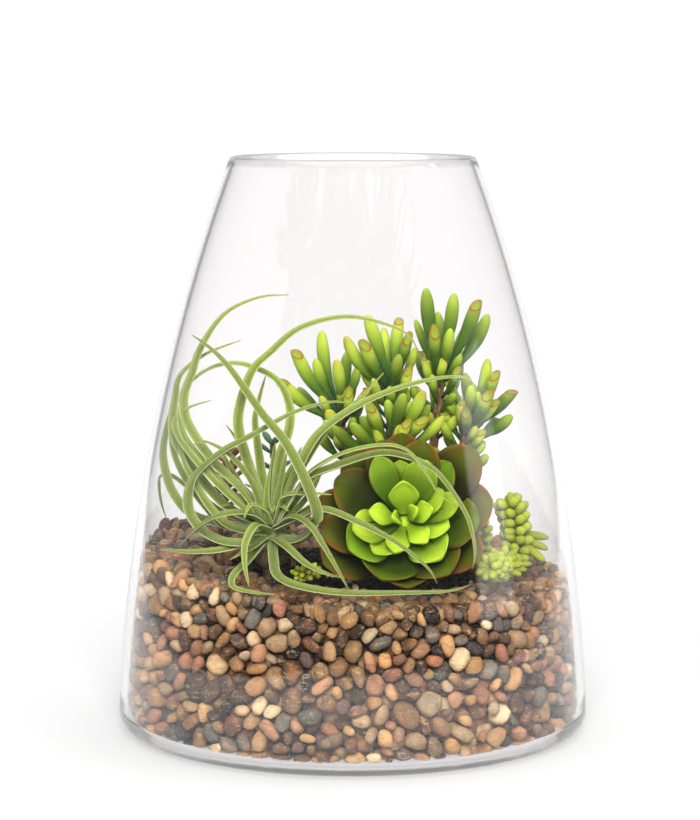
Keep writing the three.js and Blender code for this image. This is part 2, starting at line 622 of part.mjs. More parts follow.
function sedum({ root: [rootX, rootY], path, rings, perRing, size, seed, pointed }) {
  const foot = rootedStem(rootX, rootY, sedumRadius);
  const points = [[rootX, rootY, foot], [rootX, rootY, foot + holeDepth + 1], ...path];
  const curve = curveThrough(points);
  const start = 1 - curveThrough(path).getLength() / curve.getLength();
  const solids = [tubeAlong(points, () => sedumRadius, 5, 6)];
  const frameAt = faceTowards(new THREE.Vector3(0.2, 0.5, 0.84).normalize());
  for (let ring = 0; ring < rings; ring += 1) {
    const u = mix(start, 0.985, ring / (rings - 1));
    const place = curve.getPointAt(u);
    const along = curve.getTangentAt(u);
    const face = frameAt(along);
    const side = new THREE.Vector3().crossVectors(along, face);
    for (let i = 0; i < perRing; i += 1) {
      const turn = ((i + (ring % 2) * 0.5) / perRing) * Math.PI * 2 + draw(seed + ring, 1) * 0.4;
      const out = side.clone().multiplyScalar(Math.cos(turn)).addScaledVector(face, Math.sin(turn));
      out.addScaledVector(along, 0.35).normalize();
      solids.push(bead(place, out, sedumRadius, size));
    }
  }
  pointed.forEach((tip) => {
    const root = curve.getPointAt(mix(start, 1, 0.6));
    const near = root.setZ(mix(root.z, tip[2], 0.35));
    const line = curve.getPoints(40).reduce((a, b) => (a.distanceTo(near) < b.distanceTo(near) ? a : b));
    solids.push(finger(line.toArray(), tip, size * 0.8, false));
  });
  return mainBody(joined(solids));
}

// Small oval leaves standing in pairs up a stem
const sprigRadius = 1.4;
const sprigs = {
  teal_jade_sprig: {
    root: [-30, -24], path: [[-34, -27, 112], [-38, -28, 130], [-40, -29, 148]],
    leafSize: 6.5, pairs: 4, seed: 91,
  },
  bronze_sprig: {
    root: [-66, -22], path: [[-66, -20, 108], [-62, -16, 126], [-60, -14, 140]],
    leafSize: 6.5, pairs: 4, seed: 97,
  },
};

function pairedSprig({ root: [rootX, rootY], path, leafSize, pairs, seed }) {
  const foot = rootedStem(rootX, rootY, sprigRadius);
  const points = [[rootX, rootY, foot], [rootX, rootY, foot + holeDepth + 4], ...path];
  const curve = curveThrough(points);
  const solids = [tubeAlong(points, () => sprigRadius, 5, 5)];
  for (let pair = 0; pair < pairs; pair += 1) {
    const root = curve.getPointAt(mix(0.62, 0.985, pair / (pairs - 1)));
    for (let i = 0; i < 2; i += 1) {
      const turn = pair * 1.57 + i * Math.PI + draw(seed, pair) * 0.6;
      const out = new THREE.Vector3(Math.cos(turn), Math.sin(turn), 0.75).normalize();
      solids.push(bead(root, out, sprigRadius, leafSize));
    }
  }
  return mainBody(joined(solids));
}

const group = new THREE.Group();

function place(name, geometry, look) {
  const mesh = new THREE.Mesh(geometry, new THREE.MeshStandardMaterial(look));
  mesh.name = name;
  group.add(mesh);
}

place('glass_jar', glassJar(), glassLook);
place('air_plant', geometryOf(airPlant()), airPlantLook);
Object.entries(jadeStems).forEach(([name, spec]) => {
  place(name, geometryOf(fingerJade(spec)), jadeLook);
});
place('echeveria_rosette', geometryOf(rosette()), rosetteLook);
Object.entries(sedums).forEach(([name, spec]) => {
  place(name, geometryOf(sedum(spec)), sedumLook);
});
place('teal_jade_sprig', geometryOf(pairedSprig(sprigs.teal_jade_sprig)), tealLook);
place('bronze_sprig', geometryOf(pairedSprig(sprigs.bronze_sprig)), bronzeLook);
place('pebble_bed', geometryOf(pebbleBed(soilSolid(gap))), pebbleLook);
const planted = holes.map(soilHole).reduce((soil, hole) => soil.subtract(hole), soilSolid(0));
place('planting_soil', geometryOf(planted), soilLook);

export default group;
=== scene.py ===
"""Glass plant terrarium: a tapered open jar of pebbles and soil with an air plant and succulents.

The planted side faces -Y. Shapes are worked out in millimetres and handed to Blender in metres.
"""
import math

import bpy
import numpy as np
from bpy.props import FloatProperty, FloatVectorProperty, IntProperty, PointerProperty
from mathutils import Matrix, Vector


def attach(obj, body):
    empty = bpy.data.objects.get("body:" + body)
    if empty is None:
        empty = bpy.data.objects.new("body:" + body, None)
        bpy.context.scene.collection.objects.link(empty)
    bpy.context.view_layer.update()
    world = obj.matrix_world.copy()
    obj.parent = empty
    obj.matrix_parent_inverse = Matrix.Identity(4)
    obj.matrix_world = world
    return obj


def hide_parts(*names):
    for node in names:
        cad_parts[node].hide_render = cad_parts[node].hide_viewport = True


bl_info = {
    "name": "Glass Plant Terrarium",
    "version": (1, 0, 0),
    "blender": (4, 5, 0),
    "location": "View3D > Sidebar > Terrarium",
    "description": "Dresses a glass jar terrarium: glass, pebbles, soil, air plant and succulents",
    "category": "Object",
}

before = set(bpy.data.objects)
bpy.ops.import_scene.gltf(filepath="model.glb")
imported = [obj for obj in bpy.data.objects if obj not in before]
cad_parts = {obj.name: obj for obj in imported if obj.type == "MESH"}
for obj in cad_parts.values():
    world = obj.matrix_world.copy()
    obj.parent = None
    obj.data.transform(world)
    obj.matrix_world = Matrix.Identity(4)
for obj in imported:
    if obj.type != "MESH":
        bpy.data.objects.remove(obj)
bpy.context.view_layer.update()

MM = 0.001
TURN = 2 * math.pi

# What fills the jar, in millimetres
BED_LEVEL = 84.0
BED_SLOPE_X = -0.07
BED_SLOPE_Y = 0.04
MOUND_AT = (-88.0, 34.0)
MOUND_HEIGHT = 5.0
MOUND_SPREAD = 34.0
SOIL_AT = (2.0, -16.0)
SOIL_REACH = (84.0, 64.0)
SOIL_FOOT = 52.0
SOIL_SKIRT = 10.0
SOIL_CROWN = 7.0
SOIL_ROUGH = 1.2
HOLE_DEPTH = 14.0

# Gaps between pebbles and to the glass, how far inside the wall the gravel lies, and the room that leaves
# have at the wall and stems have in the pebbles, in millimetres
GAP_AT_NEIGHBOUR = 0.12
GAP_AT_GLASS = 0.35
GRAVEL_INSET = 12
ROOM_AT_GLASS = 5
ROOM_AT_STEMS = 8

# The turn from one leaf to the next and the widest turn that is drawn, in radians
LEAF_TURN = 2.4
DRAWN_TURN = 6.28

# What starts the random draws of each plant
AIR_PLANT_SEED = 21
FINGER_JADE_SEED = 40
ROSETTE_SEED = 60

# The air plant: its heart, stem, and each leaf as its width and the points of its path
AIR_PLANT_HEART = (-40, -50, 104)
AIR_PLANT_STEM = 5.5
BLADE_FACING = (0, -0.6, 0.8)
AIR_PLANT_LEAVES = [
    [5.0, [[-42, -50, 114], [-53, -52, 127], [-68, -52, 142], [-75, -50, 152], [-81, -42, 162],
        [-82, -35, 172], [-78, -32, 184], [-75, -30, 194], [-63, -22, 212], [-46, -18, 220],
        [-32, -15, 221]]],
    [5.6, [[-38, -56, 105], [-28, -66, 105], [-20, -76, 111], [-17, -82, 119], [-20, -84, 131],
        [-32, -80, 155], [-43, -74, 168], [-60, -58, 190], [-70, -44, 198], [-78, -30, 202]]],
    [4.2, [[-44, -54, 112], [-55, -60, 122], [-67, -60, 134], [-78, -54, 146], [-85, -44, 155],
        [-86, -38, 161], [-80, -40, 167], [-69, -40, 171]]],
    [4.8, [[-38, -48, 114], [-36, -45, 141], [-31, -40, 157], [-31, -38, 167], [-37, -38, 180],
        [-49, -38, 187], [-58, -38, 189], [-68, -36, 187], [-77, -31, 181], [-84, -24, 172]]],
    [5.0, [[-41, -49, 112], [-49, -52, 135], [-55, -53, 156], [-55, -53, 166], [-48, -51, 187],
        [-40, -50, 195], [-26, -50, 207], [-4, -50, 213], [14, -50, 210], [27, -50, 204],
        [32, -50, 196]]],
    [5.0, [[-42, -58, 106], [-52, -66, 104], [-64, -65, 105], [-73, -63, 110], [-79, -58, 119],
        [-77, -58, 133], [-62, -66, 149], [-50, -68, 156], [-26, -66, 169], [-8, -62, 173],
        [0, -58, 171]]],
    [5.2, [[-38, -54, 112], [-32, -60, 125], [-26, -66, 140], [-16, -70, 158], [5, -70, 173],
        [29, -66, 182], [48, -62, 185], [55, -60, 184], [60, -58, 179]]],
    [4.8, [[-37, -56, 112], [-28, -66, 127], [-20, -76, 138], [-8, -82, 144], [14, -86, 151],
        [26, -86, 149], [38, -85, 143], [49, -83, 129], [55, -83, 118], [58, -84, 103], [57, -84, 95]]],
    [3.0, [[-36, -57, 113], [-26, -70, 132], [-18, -81, 143], [-1, -91, 153], [17, -93, 156],
        [26, -92, 153], [34, -91, 143], [40, -89, 133], [48, -87, 126]]],
    [4.4, [[-37, -58, 110], [-26, -70, 117], [-14, -81, 123], [2, -87, 118], [20, -91, 109],
        [36, -91, 96], [40, -90, 89]]],
    [4.0, [[-38, -58, 111], [-29, -72, 118], [-20, -87, 116], [-14, -93, 108], [-6, -98, 95],
        [-2, -100, 88]]],
    [4.6, [[-39, -58, 103], [-38, -72, 96], [-36, -82, 91], [-28, -90, 88], [-7, -94, 85], [26, -94, 85],
        [47, -93, 86], [56, -88, 88]]],
    [4.4, [[-38, -58, 105], [-31, -74, 103], [-22, -84, 97], [-12, -88, 93], [-4, -87, 91]]],
    [4.4, [[-41, -58, 110], [-47, -76, 114], [-51, -84, 107], [-51, -89, 97], [-49, -92, 88]]],
    [4.0, [[-44, -60, 103], [-51, -74, 96], [-57, -84, 91], [-57, -88, 87], [-48, -92, 85],
        [-37, -97, 85]]],
    [4.4, [[-44, -56, 105], [-62, -66, 101], [-75, -62, 99], [-85, -54, 98], [-95, -42, 97]]],
    [4.2, [[-43, -56, 112], [-50, -68, 119], [-62, -77, 120], [-71, -72, 115], [-78, -65, 108],
        [-83, -58, 102]]],
    [5.2, [[-45, -52, 108], [-58, -48, 109], [-73, -40, 111], [-82, -32, 114], [-89, -26, 122],
        [-93, -20, 131], [-95, -14, 141], [-94, -10, 151], [-90, -10, 164], [-82, -12, 176],
        [-75, -12, 183]]],
    [4.6, [[-45, -54, 109], [-62, -53, 110], [-70, -48, 117], [-83, -37, 133], [-88, -30, 143],
        [-90, -24, 152], [-90, -22, 158], [-87, -20, 163]]],
    [5.0, [[-44, -53, 111], [-60, -50, 118], [-70, -46, 127], [-86, -34, 148], [-89, -24, 157],
        [-88, -18, 170], [-85, -19, 181], [-74, -20, 191], [-65, -17, 195], [-56, -14, 198]]],
    [4.6, [[-44, -52, 112], [-58, -52, 124], [-74, -50, 143], [-82, -46, 155], [-84, -38, 167],
        [-82, -33, 173]]],
    [4.6, [[-42, -48, 112], [-44, -45, 130], [-47, -40, 151], [-48, -36, 161], [-46, -33, 171],
        [-43, -30, 182]]],
    [3.6, [[-43, -50, 112], [-50, -47, 135], [-57, -43, 152], [-62, -41, 159]]],
    [4.2, [[-43, -52, 113], [-49, -56, 132], [-59, -60, 146], [-66, -60, 151], [-72, -58, 153],
        [-76, -57, 151]]],
    [4.6, [[-44, -55, 107], [-60, -58, 111], [-69, -57, 120], [-76, -54, 131], [-82, -49, 143],
        [-85, -42, 154]]],
    [3.4, [[-46, -48, 109], [-64, -30, 113], [-74, -20, 118], [-84, -12, 124], [-93, -6, 129],
        [-98, -2, 128], [-99, 0, 121], [-98, 3, 112], [-96, 7, 104]]],
    [3.6, [[-38, -54, 113], [-35, -62, 123], [-32, -68, 128], [-18, -75, 130], [-10, -78, 130]]],
    [3.4, [[-40, -57, 112], [-43, -67, 121], [-49, -73, 124], [-52, -77, 118]]],
    [3.6, [[-41, -51, 112], [-42, -54, 125], [-40, -56, 140]]],
    [4.0, [[-39, -51, 112], [-35, -55, 132], [-32, -53, 147]]],
    [3.8, [[-44, -54, 112], [-52, -61, 126], [-60, -67, 136], [-65, -68, 138]]],
    [3.6, [[-42, -57, 106], [-48, -72, 103], [-53, -82, 102], [-58, -87, 100]]],
    [4.4, [[-44, -44, 108], [-51, -26, 113], [-57, -6, 117], [-66, 14, 117], [-74, 24, 113]]],
    [4.4, [[-42, -42, 107], [-46, -22, 111], [-50, 2, 110], [-56, 22, 104], [-60, 32, 101]]],
    [4.0, [[-38, -43, 107], [-32, -28, 112], [-28, -10, 113], [-28, 6, 108]]],
]
# Leaves that make the fan denser between the ones above
AIR_PLANT_FAN = [
    [3.6, [[-38, -52, 112], [-32, -56, 126], [-24, -60, 140], [-10, -62, 162], [5, -62, 176],
        [15, -60, 187]]],
    [4.8, [[-37, -50, 110], [-28, -48, 122], [-17, -46, 134], [-7, -44, 142]]],
    [4.6, [[-37, -50, 108], [-25, -47, 115], [-12, -44, 124], [-1, -42, 129]]],
    [4.6, [[-39, -48, 112], [-33, -44, 130], [-25, -40, 148]]],
    [4.4, [[-37, -49, 109], [-28, -44, 114], [-18, -40, 116], [-8, -37, 115]]],
    [4.2, [[-40, -48, 112], [-40, -42, 132], [-38, -38, 150]]],
    [4.4, [[-43, -50, 111], [-52, -48, 124], [-60, -44, 138], [-66, -40, 149]]],
    [4.2, [[-37, -54, 110], [-27, -58, 119], [-19, -60, 130], [-14, -60, 141]]],
]

# Finger jade: each stem with its leaves, as the tip's place, the height where a leaf leaves the stem, its
# girth and whether its end is dished
JADE_STEM_RADIUS = 2.6
MOUTH_SLANT = 1.2
FINGER_JADES = {
    "finger_jade_middle": {
        "stem": [[36, 6], [[40, 2, 131], [42, 0, 151], [44, 1, 167], [44, 0, 179]]],
        "leaves": [
            [37, 4, 223, 176, 7.0, 0], [52, 10, 220, 178, 6.6, 0], [63, -4, 218, 178, 6.8, 1],
            [70, 14, 209, 174, 6.8, 0], [41, -18, 205, 174, 6.4, 1], [49, -13, 204, 173, 6.2, 0],
            [32, 16, 206, 174, 4.6, 0], [57, 24, 200, 174, 5.0, 0], [44, 26, 209, 176, 6.2, 0],
            [34, 30, 190, 168, 6.0, 1], [56, 32, 184, 166, 6.2, 0],
        ],
    },
    "finger_jade_centre": {
        "stem": [[19, 8], [[19, 2, 132], [19, -4, 152], [20, -5, 165], [21, -4, 175]]],
        "leaves": [
            [7, -2, 210, 172, 6.8, 0], [5, -24, 199, 170, 6.6, 1], [-4, -13, 200, 169, 6.8, 0],
            [16, 22, 201, 173, 6.0, 0], [11, 14, 195, 170, 5.8, 1], [23, -26, 192, 168, 6.2, 0],
            [24, 12, 208, 173, 6.2, 1], [28, -22, 202, 173, 6.2, 1], [3, 24, 186, 164, 6.2, 0],
            [24, 30, 184, 164, 6.0, 0], [10, -34, 181, 162, 5.2, 0],
        ],
    },
    "finger_jade_left": {
        "stem": [[-4, -2], [[-3, -8, 132], [-5, -11, 148], [-6, -11, 158], [-6, -8, 167]]],
        "leaves": [
            [-29, -14, 194, 160, 6.6, 1], [-16, 8, 201, 163, 6.6, 0], [-8, -28, 190, 160, 6.4, 0],
            [-3, 8, 190, 162, 5.6, 0], [-19, -4, 188, 162, 5.8, 0], [-37, -22, 180, 156, 6.4, 1],
            [-28, 6, 172, 154, 5.6, 0], [-16, 22, 180, 156, 6.2, 0], [-3, 24, 172, 154, 6.0, 1],
            [-2, -34, 176, 154, 5.4, 1],
        ],
    },
    "finger_jade_front": {
        "stem": [[10, -18], [[14, -24, 112], [17, -29, 128], [19, -33, 143], [20, -34, 151]]],
        "leaves": [
            [8, -44, 170, 146, 6.2, 1], [25, -44, 175, 146, 6.2, 0], [35, -41, 176, 147, 6.4, 0],
            [38, -33, 168, 146, 5.2, 0], [35, -46, 163, 145, 6.0, 1], [27, -49, 162, 144, 5.4, 1],
            [45, -38, 163, 143, 5.8, 0], [-1, -42, 160, 141, 6.0, 0], [-10, -38, 158, 139, 5.8, 0],
            [17, -36, 171, 147, 5.6, 0], [4, -38, 163, 144, 5.6, 0],
        ],
    },
    "finger_jade_right": {
        "stem": [[52, 0], [[54, -4, 128], [56, -6, 143], [58, -6, 154], [61, -4, 164]]],
        "leaves": [
            [69, 4, 187, 158, 6.2, 0], [72, -10, 182, 156, 6.2, 1], [68, -23, 173, 152, 6.6, 1],
            [83, 4, 172, 150, 6.8, 1], [81, -4, 159, 146, 6.4, 0], [59, -20, 176, 154, 6.0, 0],
            [72, 22, 172, 151, 6.4, 0], [76, 18, 156, 145, 6.0, 1], [58, 20, 178, 154, 6.0, 0],
            [56, -30, 165, 149, 6.0, 1],
        ],
    },
}

# The rosette: leaves as clock angle, reach, width, how far the root sits back and the tip forward
ROSETTE_AT = (25, -62, 115)
ROSETTE_FACE = (0, -0.91, 0.41)
ROSETTE_STEM_AT = (26, -34)
ROSETTE_STEM_RADIUS = 4.5
ROSETTE_LEAVES = [
    [20, 6, 8, 0, 15], [200, 6, 8, 0, 15], [93, 15, 15, 0, 14],
    [176, 17, 11, 1, 13], [12, 13, 11, 1, 13], [256, 20, 12, 1, 13], [-52, 17, 12, 1, 12],
    [117, 31, 15, 2, 12], [95, 28, 15, 7.5, 5.5], [68, 28, 18, 2, 12], [34, 22, 13, 3, 9],
    [15, 27, 14, 2, 11], [-14, 22, 15, 3, 9], [196, 26, 18, 3, 10], [232, 24, 15, 3, 9],
    [-52, 28, 22, 5, 9], [214, 32, 25, 4, 10], [50, 34, 18, 6, 8], [76, 38, 22, 6, 7], [108, 39, 22, 6, 7],
    [152, 38, 25, 6, 8], [194, 41, 23, 8, 9], [252, 35, 30, 8, 10], [-56, 37, 27, 9, 10], [-4, 36, 27, 8, 8],
    [44, 48, 26, 11, 3], [11, 43, 28, 11, 5], [214, 46, 29, 11, 8], [130, 43, 24, 12, 2],
    [-32, 42, 26, 12, 5], [-88, 37, 27, 12, 7], [172, 44, 24, 12, 3], [92, 43, 22, 13, 0],
]

# Sedum stems with the rings of plump leaves round them, and the small-leaved sprigs. A leaf's half width
# and half thickness are shares of its stem's leaf size.
SEDUM_RADIUS = 1.8
SEDUM_LEAF = (0.385, 0.36)
SEDUM_POINTED_LEAF = (0.36, 0.3)
SEDUMS = {
    "sedum_front_tail": {
        "root": [71, -44],
        "path": [[73, -49, 92], [72, -55, 91], [70, -60, 91], [67, -64, 92]],
        "rings": 8, "around": 7, "size": 7.0, "seed": 11,
        "pointed": [[84, -44, 93], [85, -48, 88], [83, -53, 92], [82, -57, 87], [78, -60, 90], [74, -63, 86],
                    [81, -40, 97], [88, -42, 90]],
    },
    "sedum_back_tail": {
        "root": [80, -16],
        "path": [[81, -16, 88], [83, -17, 98], [81, -18, 108], [79, -18, 114]],
        "rings": 7, "around": 7, "size": 8.6, "seed": 31,
        "pointed": [[79, -16, 122], [88, -14, 117], [99, -14, 98], [98, -19, 93], [96, -25, 88]],
    },
    "sedum_tuft": {
        "root": [62, -29],
        "path": [[62, -33, 92], [64, -34, 101], [63, -36, 108]],
        "rings": 5, "around": 6, "size": 6.0, "seed": 51, "pointed": [],
    },
    "creeping_sedum": {
        "root": [-27, -65],
        "path": [[-26, -68, 89], [-23, -72, 91], [-19, -74, 92]],
        "rings": 5, "around": 6, "size": 4.2, "seed": 71, "pointed": [],
    },
}
SPRIG_RADIUS = 1.4
SPRIG_LEAF = (0.4, 0.22)
SPRIGS = {
    "teal_jade_sprig": {
        "root": [-30, -24], "path": [[-34, -27, 112], [-38, -28, 130], [-40, -29, 148]],
        "size": 6.5, "pairs": 8, "seed": 91,
    },
    "bronze_sprig": {
        "root": [-66, -22], "path": [[-66, -20, 108], [-62, -16, 126], [-60, -14, 140]],
        "size": 6.5, "pairs": 8, "seed": 97,
    },
}


def rgb(red, green, blue):
    """A colour as it looks on a screen, from 0 to 255, as the light values that Blender mixes"""
    shares = [channel / 255 for channel in (red, green, blue)]
    return tuple(s / 12.92 if s <= 0.04045 else ((s + 0.055) / 1.055) ** 2.4 for s in shares)


# Sizes and colours that a user would change


def size_setting(name, description, metres):
    return FloatProperty(name=name, description=description, default=metres, unit="LENGTH")


def count_setting(name, description, default, lowest=0):
    return IntProperty(name=name, description=description, default=default, min=lowest)


def light_setting(name, description, default):
    return FloatProperty(name=name, description=description, default=default)


def colour_setting(name, description, *seen):
    kind = {"size": 3, "subtype": "COLOR"}
    return FloatVectorProperty(name=name, description=description, default=rgb(*seen), **kind)


class TerrariumJar(bpy.types.PropertyGroup):
    height: size_setting("Height", "Height of the jar", 0.290)
    foot_radius: size_setting("Foot radius", "Outer radius just above the foot", 0.1198)
    low_shoulder: size_setting("Low shoulder", "Pull of the outline a third of the way up", 0.1151)
    high_shoulder: size_setting("High shoulder", "Pull of the outline two thirds of the way up", 0.0973)
    mouth_radius: size_setting("Mouth radius", "Outer radius of the rim", 0.0617)
    wall: size_setting("Wall", "Thickness of the glass wall", 0.0035)
    floor: size_setting("Floor", "Thickness of the glass floor", 0.0045)
    foot_corner: size_setting("Foot corner", "Outer rounding of the foot", 0.0089)
    inner_corner: size_setting("Inner corner", "Inner rounding above the floor", 0.0065)
    sides: count_setting("Sides", "Steps round the jar", 192, lowest=24)
    tint: colour_setting("Tint", "Colour of the glass", 252, 251, 251)


class TerrariumBed(bpy.types.PropertyGroup):
    seed: count_setting("Seed", "Draw of the pebbles and crumbs", 7)
    smallest: size_setting("Smallest pebble", "Half length of the smallest pebbles", 0.0040)
    largest: size_setting("Largest pebble", "Half length of the largest pebbles", 0.0096)
    at_glass: count_setting("Pebbles at the glass", "Pebbles that touch the wall", 820)
    behind: count_setting("Pebbles behind", "Pebbles of the second layer", 560)
    on_top: count_setting("Pebbles on top", "Pebbles that lie on top of the bed", 410)
    under_top: count_setting("Pebbles under the top", "Pebbles just below those", 210)
    on_floor: count_setting("Pebbles on the floor", "Pebbles that lie on the glass", 400)
    crumbs: count_setting("Soil crumbs", "Crumbs that lie on the soil", 900)
    soil_colour: colour_setting("Soil", "Colour of the damp soil", 44, 34, 27)


class TerrariumPlants(bpy.types.PropertyGroup):
    air_plant: colour_setting("Air plant", "Leaf of the air plant", 146, 162, 66)
    frost: colour_setting("Frost", "Scales that whiten the air plant", 200, 208, 164)
    jade: colour_setting("Jade", "Body of the jade fingers", 72, 108, 20)
    jade_tip: colour_setting("Jade tip", "Tips of the jade fingers", 174, 194, 62)
    rosette: colour_setting("Rosette", "Inner leaves of the rosette", 168, 202, 40)
    rosette_edge: colour_setting("Rosette edge", "Bronze edges of the outer leaves", 124, 58, 26)
    sedum: colour_setting("Sedum", "Plump leaves of the sedum", 126, 138, 16)
    teal: colour_setting("Teal sprig", "Leaves of the teal sprig", 44, 86, 60)
    bronze: colour_setting("Bronze sprig", "Leaves of the bronze sprig", 122, 66, 42)


class TerrariumStudio(bpy.types.PropertyGroup):
    floor_colour: colour_setting("Floor", "Colour of the floor and backdrop", 190, 190, 190)
    glow: light_setting("Backdrop glow", "Light that the backdrop gives off", 0.62)
    floor_glow: light_setting("Floor glow", "Light that the floor gives off", 0.12)
    surroundings: light_setting("Surroundings", "Brightness of the room", 0.32)


# Shader and geometry nodes


class Signal:
    """A node's output, which adds Math nodes as it is used in an expression"""

    def __init__(self, graph, socket):
        self.graph = graph
        self.socket = socket

    def other(self, name):
        return Signal(self.graph, self.socket.node.outputs[name])

    def maths(self, operation, *values):
        return self.graph.node("ShaderNodeMath", {"operation": operation}, dict(enumerate(values)))

    def __add__(self, value):
        return self.maths("ADD", self, value)

    def __sub__(self, value):
        return self.maths("SUBTRACT", self, value)

    def __rsub__(self, value):
        return self.maths("SUBTRACT", value, self)

    def __mul__(self, value):
        return self.maths("MULTIPLY", self, value)

    def __truediv__(self, value):
        return self.maths("DIVIDE", self, value)

    def __rtruediv__(self, value):
        return self.maths("DIVIDE", value, self)

    __radd__ = __add__
    __rmul__ = __mul__

    def size(self):
        return self.maths("ABSOLUTE", self)

    def between(self, low, high):
        """0 below low, 1 above high and a soft step between them"""
        settings = {"interpolation_type": "SMOOTHSTEP"}
        return self.graph.node("ShaderNodeMapRange", settings, {0: self, 1: low, 2: high})


class Graph:
    """A node tree under construction"""

    def __init__(self, tree):
        self.tree = tree

    def node(self, kind, settings=None, sockets=None, output=0):
        made = self.tree.nodes.new(kind)
        for name, value in (settings or {}).items():
            if name == "stops":
                self.set_stops(made.color_ramp, value)
            else:
                setattr(made, name, value)
        for name, value in (sockets or {}).items():
            if isinstance(value, Signal):
                self.tree.links.new(value.socket, made.inputs[name])
            else:
                made.inputs[name].default_value = value
        return Signal(self, made.outputs[output]) if len(made.outputs) else made

    def parts(self, vector):
        """A vector taken apart, read by its outputs X, Y and Z"""
        return self.node("ShaderNodeSeparateXYZ", None, {0: vector})

    def vector(self, x, y, z):
        return self.node("ShaderNodeCombineXYZ", None, {0: x, 1: y, 2: z})

    def grey(self, level):
        return self.node("ShaderNodeCombineColor", None, {0: level, 1: level, 2: level})

    def set_stops(self, ramp, stops):
        for place, colour in stops[2:]:
            ramp.elements.new(place)
        for element, (place, colour) in zip(ramp.elements, stops):
            element.position = place
            element.color = (*colour, 1)


class Finish(Graph):
    """A material under construction"""

    def __init__(self, name):
        self.material = bpy.data.materials.new(name)
        self.material.use_nodes = True
        self.material.node_tree.nodes.clear()
        super().__init__(self.material.node_tree)
        self.place = self.node("ShaderNodeTexCoord").other("Object")

    def attribute(self, name):
        return self.node("ShaderNodeAttribute", {"attribute_name": name}).other("Fac")

    def moved(self, place, by):
        return self.node("ShaderNodeVectorMath", {"operation": "ADD"}, {0: place, 1: by})

    def stretched(self, place, x, y, z):
        return self.node("ShaderNodeVectorMath", {"operation": "MULTIPLY"}, {0: place, 1: (x, y, z)})

    def noise(self, place, scale, detail=3.0, roughness=0.5, distortion=0.0):
        sockets = {"Vector": place, "Scale": scale, "Detail": detail, "Roughness": roughness,
                   "Distortion": distortion}
        return self.node("ShaderNodeTexNoise", None, sockets)

    def cells(self, place, scale, feature="F1"):
        return self.node("ShaderNodeTexVoronoi", {"feature": feature}, {"Vector": place, "Scale": scale})

    def mix(self, share, first, second, blend="MIX"):
        first = first if isinstance(first, Signal) else (*first, 1)
        second = second if isinstance(second, Signal) else (*second, 1)
        settings = {"data_type": "RGBA", "blend_type": blend}
        return self.node("ShaderNodeMix", settings, {0: share, 6: first, 7: second}, output=2)

    def tinted(self, colour, factor):
        """A colour made lighter or darker by a factor"""
        return self.mix(1.0, colour, self.grey(factor), "MULTIPLY")

    def ramp(self, value, stops, interpolation="LINEAR"):
        made = self.node("ShaderNodeValToRGB", {"stops": stops}, {0: value})
        made.socket.node.color_ramp.interpolation = interpolation
        return made

    def bump(self, height, strength, distance):
        sockets = {"Height": height, "Strength": strength, "Distance": distance}
        return self.node("ShaderNodeBump", None, sockets)

    def surface(self, colour, roughness, normal=None, **fixed):
        """The finished surface, with its fixed sockets given by names with underscores for spaces"""
        sockets = {"Base Color": colour, "Roughness": roughness}
        if normal:
            sockets["Normal"] = normal
        sockets.update({name.replace("_", " "): value for name, value in fixed.items()})
        shader = self.node("ShaderNodeBsdfPrincipled", None, sockets)
        self.node("ShaderNodeOutputMaterial", None, {0: shader})
        return self.material


def grown(piece, name, material, build, **inputs):
    """Gives a piece the mesh that the nodes of build grow from it, with inputs as their named values"""
    kinds = {int: "NodeSocketInt", float: "NodeSocketFloat"}
    tree = bpy.data.node_groups.new(name, "GeometryNodeTree")
    tree.interface.new_socket("Geometry", in_out="INPUT", socket_type="NodeSocketGeometry")
    tree.interface.new_socket("Geometry", in_out="OUTPUT", socket_type="NodeSocketGeometry")
    sockets = {}
    for title, value in inputs.items():
        kind = kinds[type(value)]
        sockets[title] = tree.interface.new_socket(title.replace("_", " "), in_out="INPUT", socket_type=kind)
    graph = Graph(tree)
    start = graph.node("NodeGroupInput")
    values = {title: start.other(title.replace("_", " ")) for title in inputs}
    shape = build(graph, start.other("Geometry"), **values)
    real = graph.node("GeometryNodeRealizeInstances", None, {0: shape})
    smooth = graph.node("GeometryNodeSetShadeSmooth", None, {0: real})
    done = graph.node("GeometryNodeSetMaterial", None, {"Geometry": smooth, "Material": material})
    graph.node("NodeGroupOutput", None, {0: done})
    modifier = piece.modifiers.new(name, "NODES")
    modifier.node_group = tree
    for title, value in inputs.items():
        modifier[sockets[title].identifier] = value
    graph_now = bpy.context.evaluated_depsgraph_get()
    mesh = bpy.data.meshes.new_from_object(
        piece.evaluated_get(graph_now), preserve_all_data_layers=True, depsgraph=graph_now)
    piece.modifiers.clear()
    piece.data = mesh
    if not len(mesh.polygons):
        raise RuntimeError(f"{name} grew no faces")
    return piece


# Meshes


def unit(vectors):
    vectors = np.asarray(vectors, float)
    length = np.linalg.norm(vectors, axis=-1, keepdims=True)
    return vectors / np.maximum(length, 1e-9)


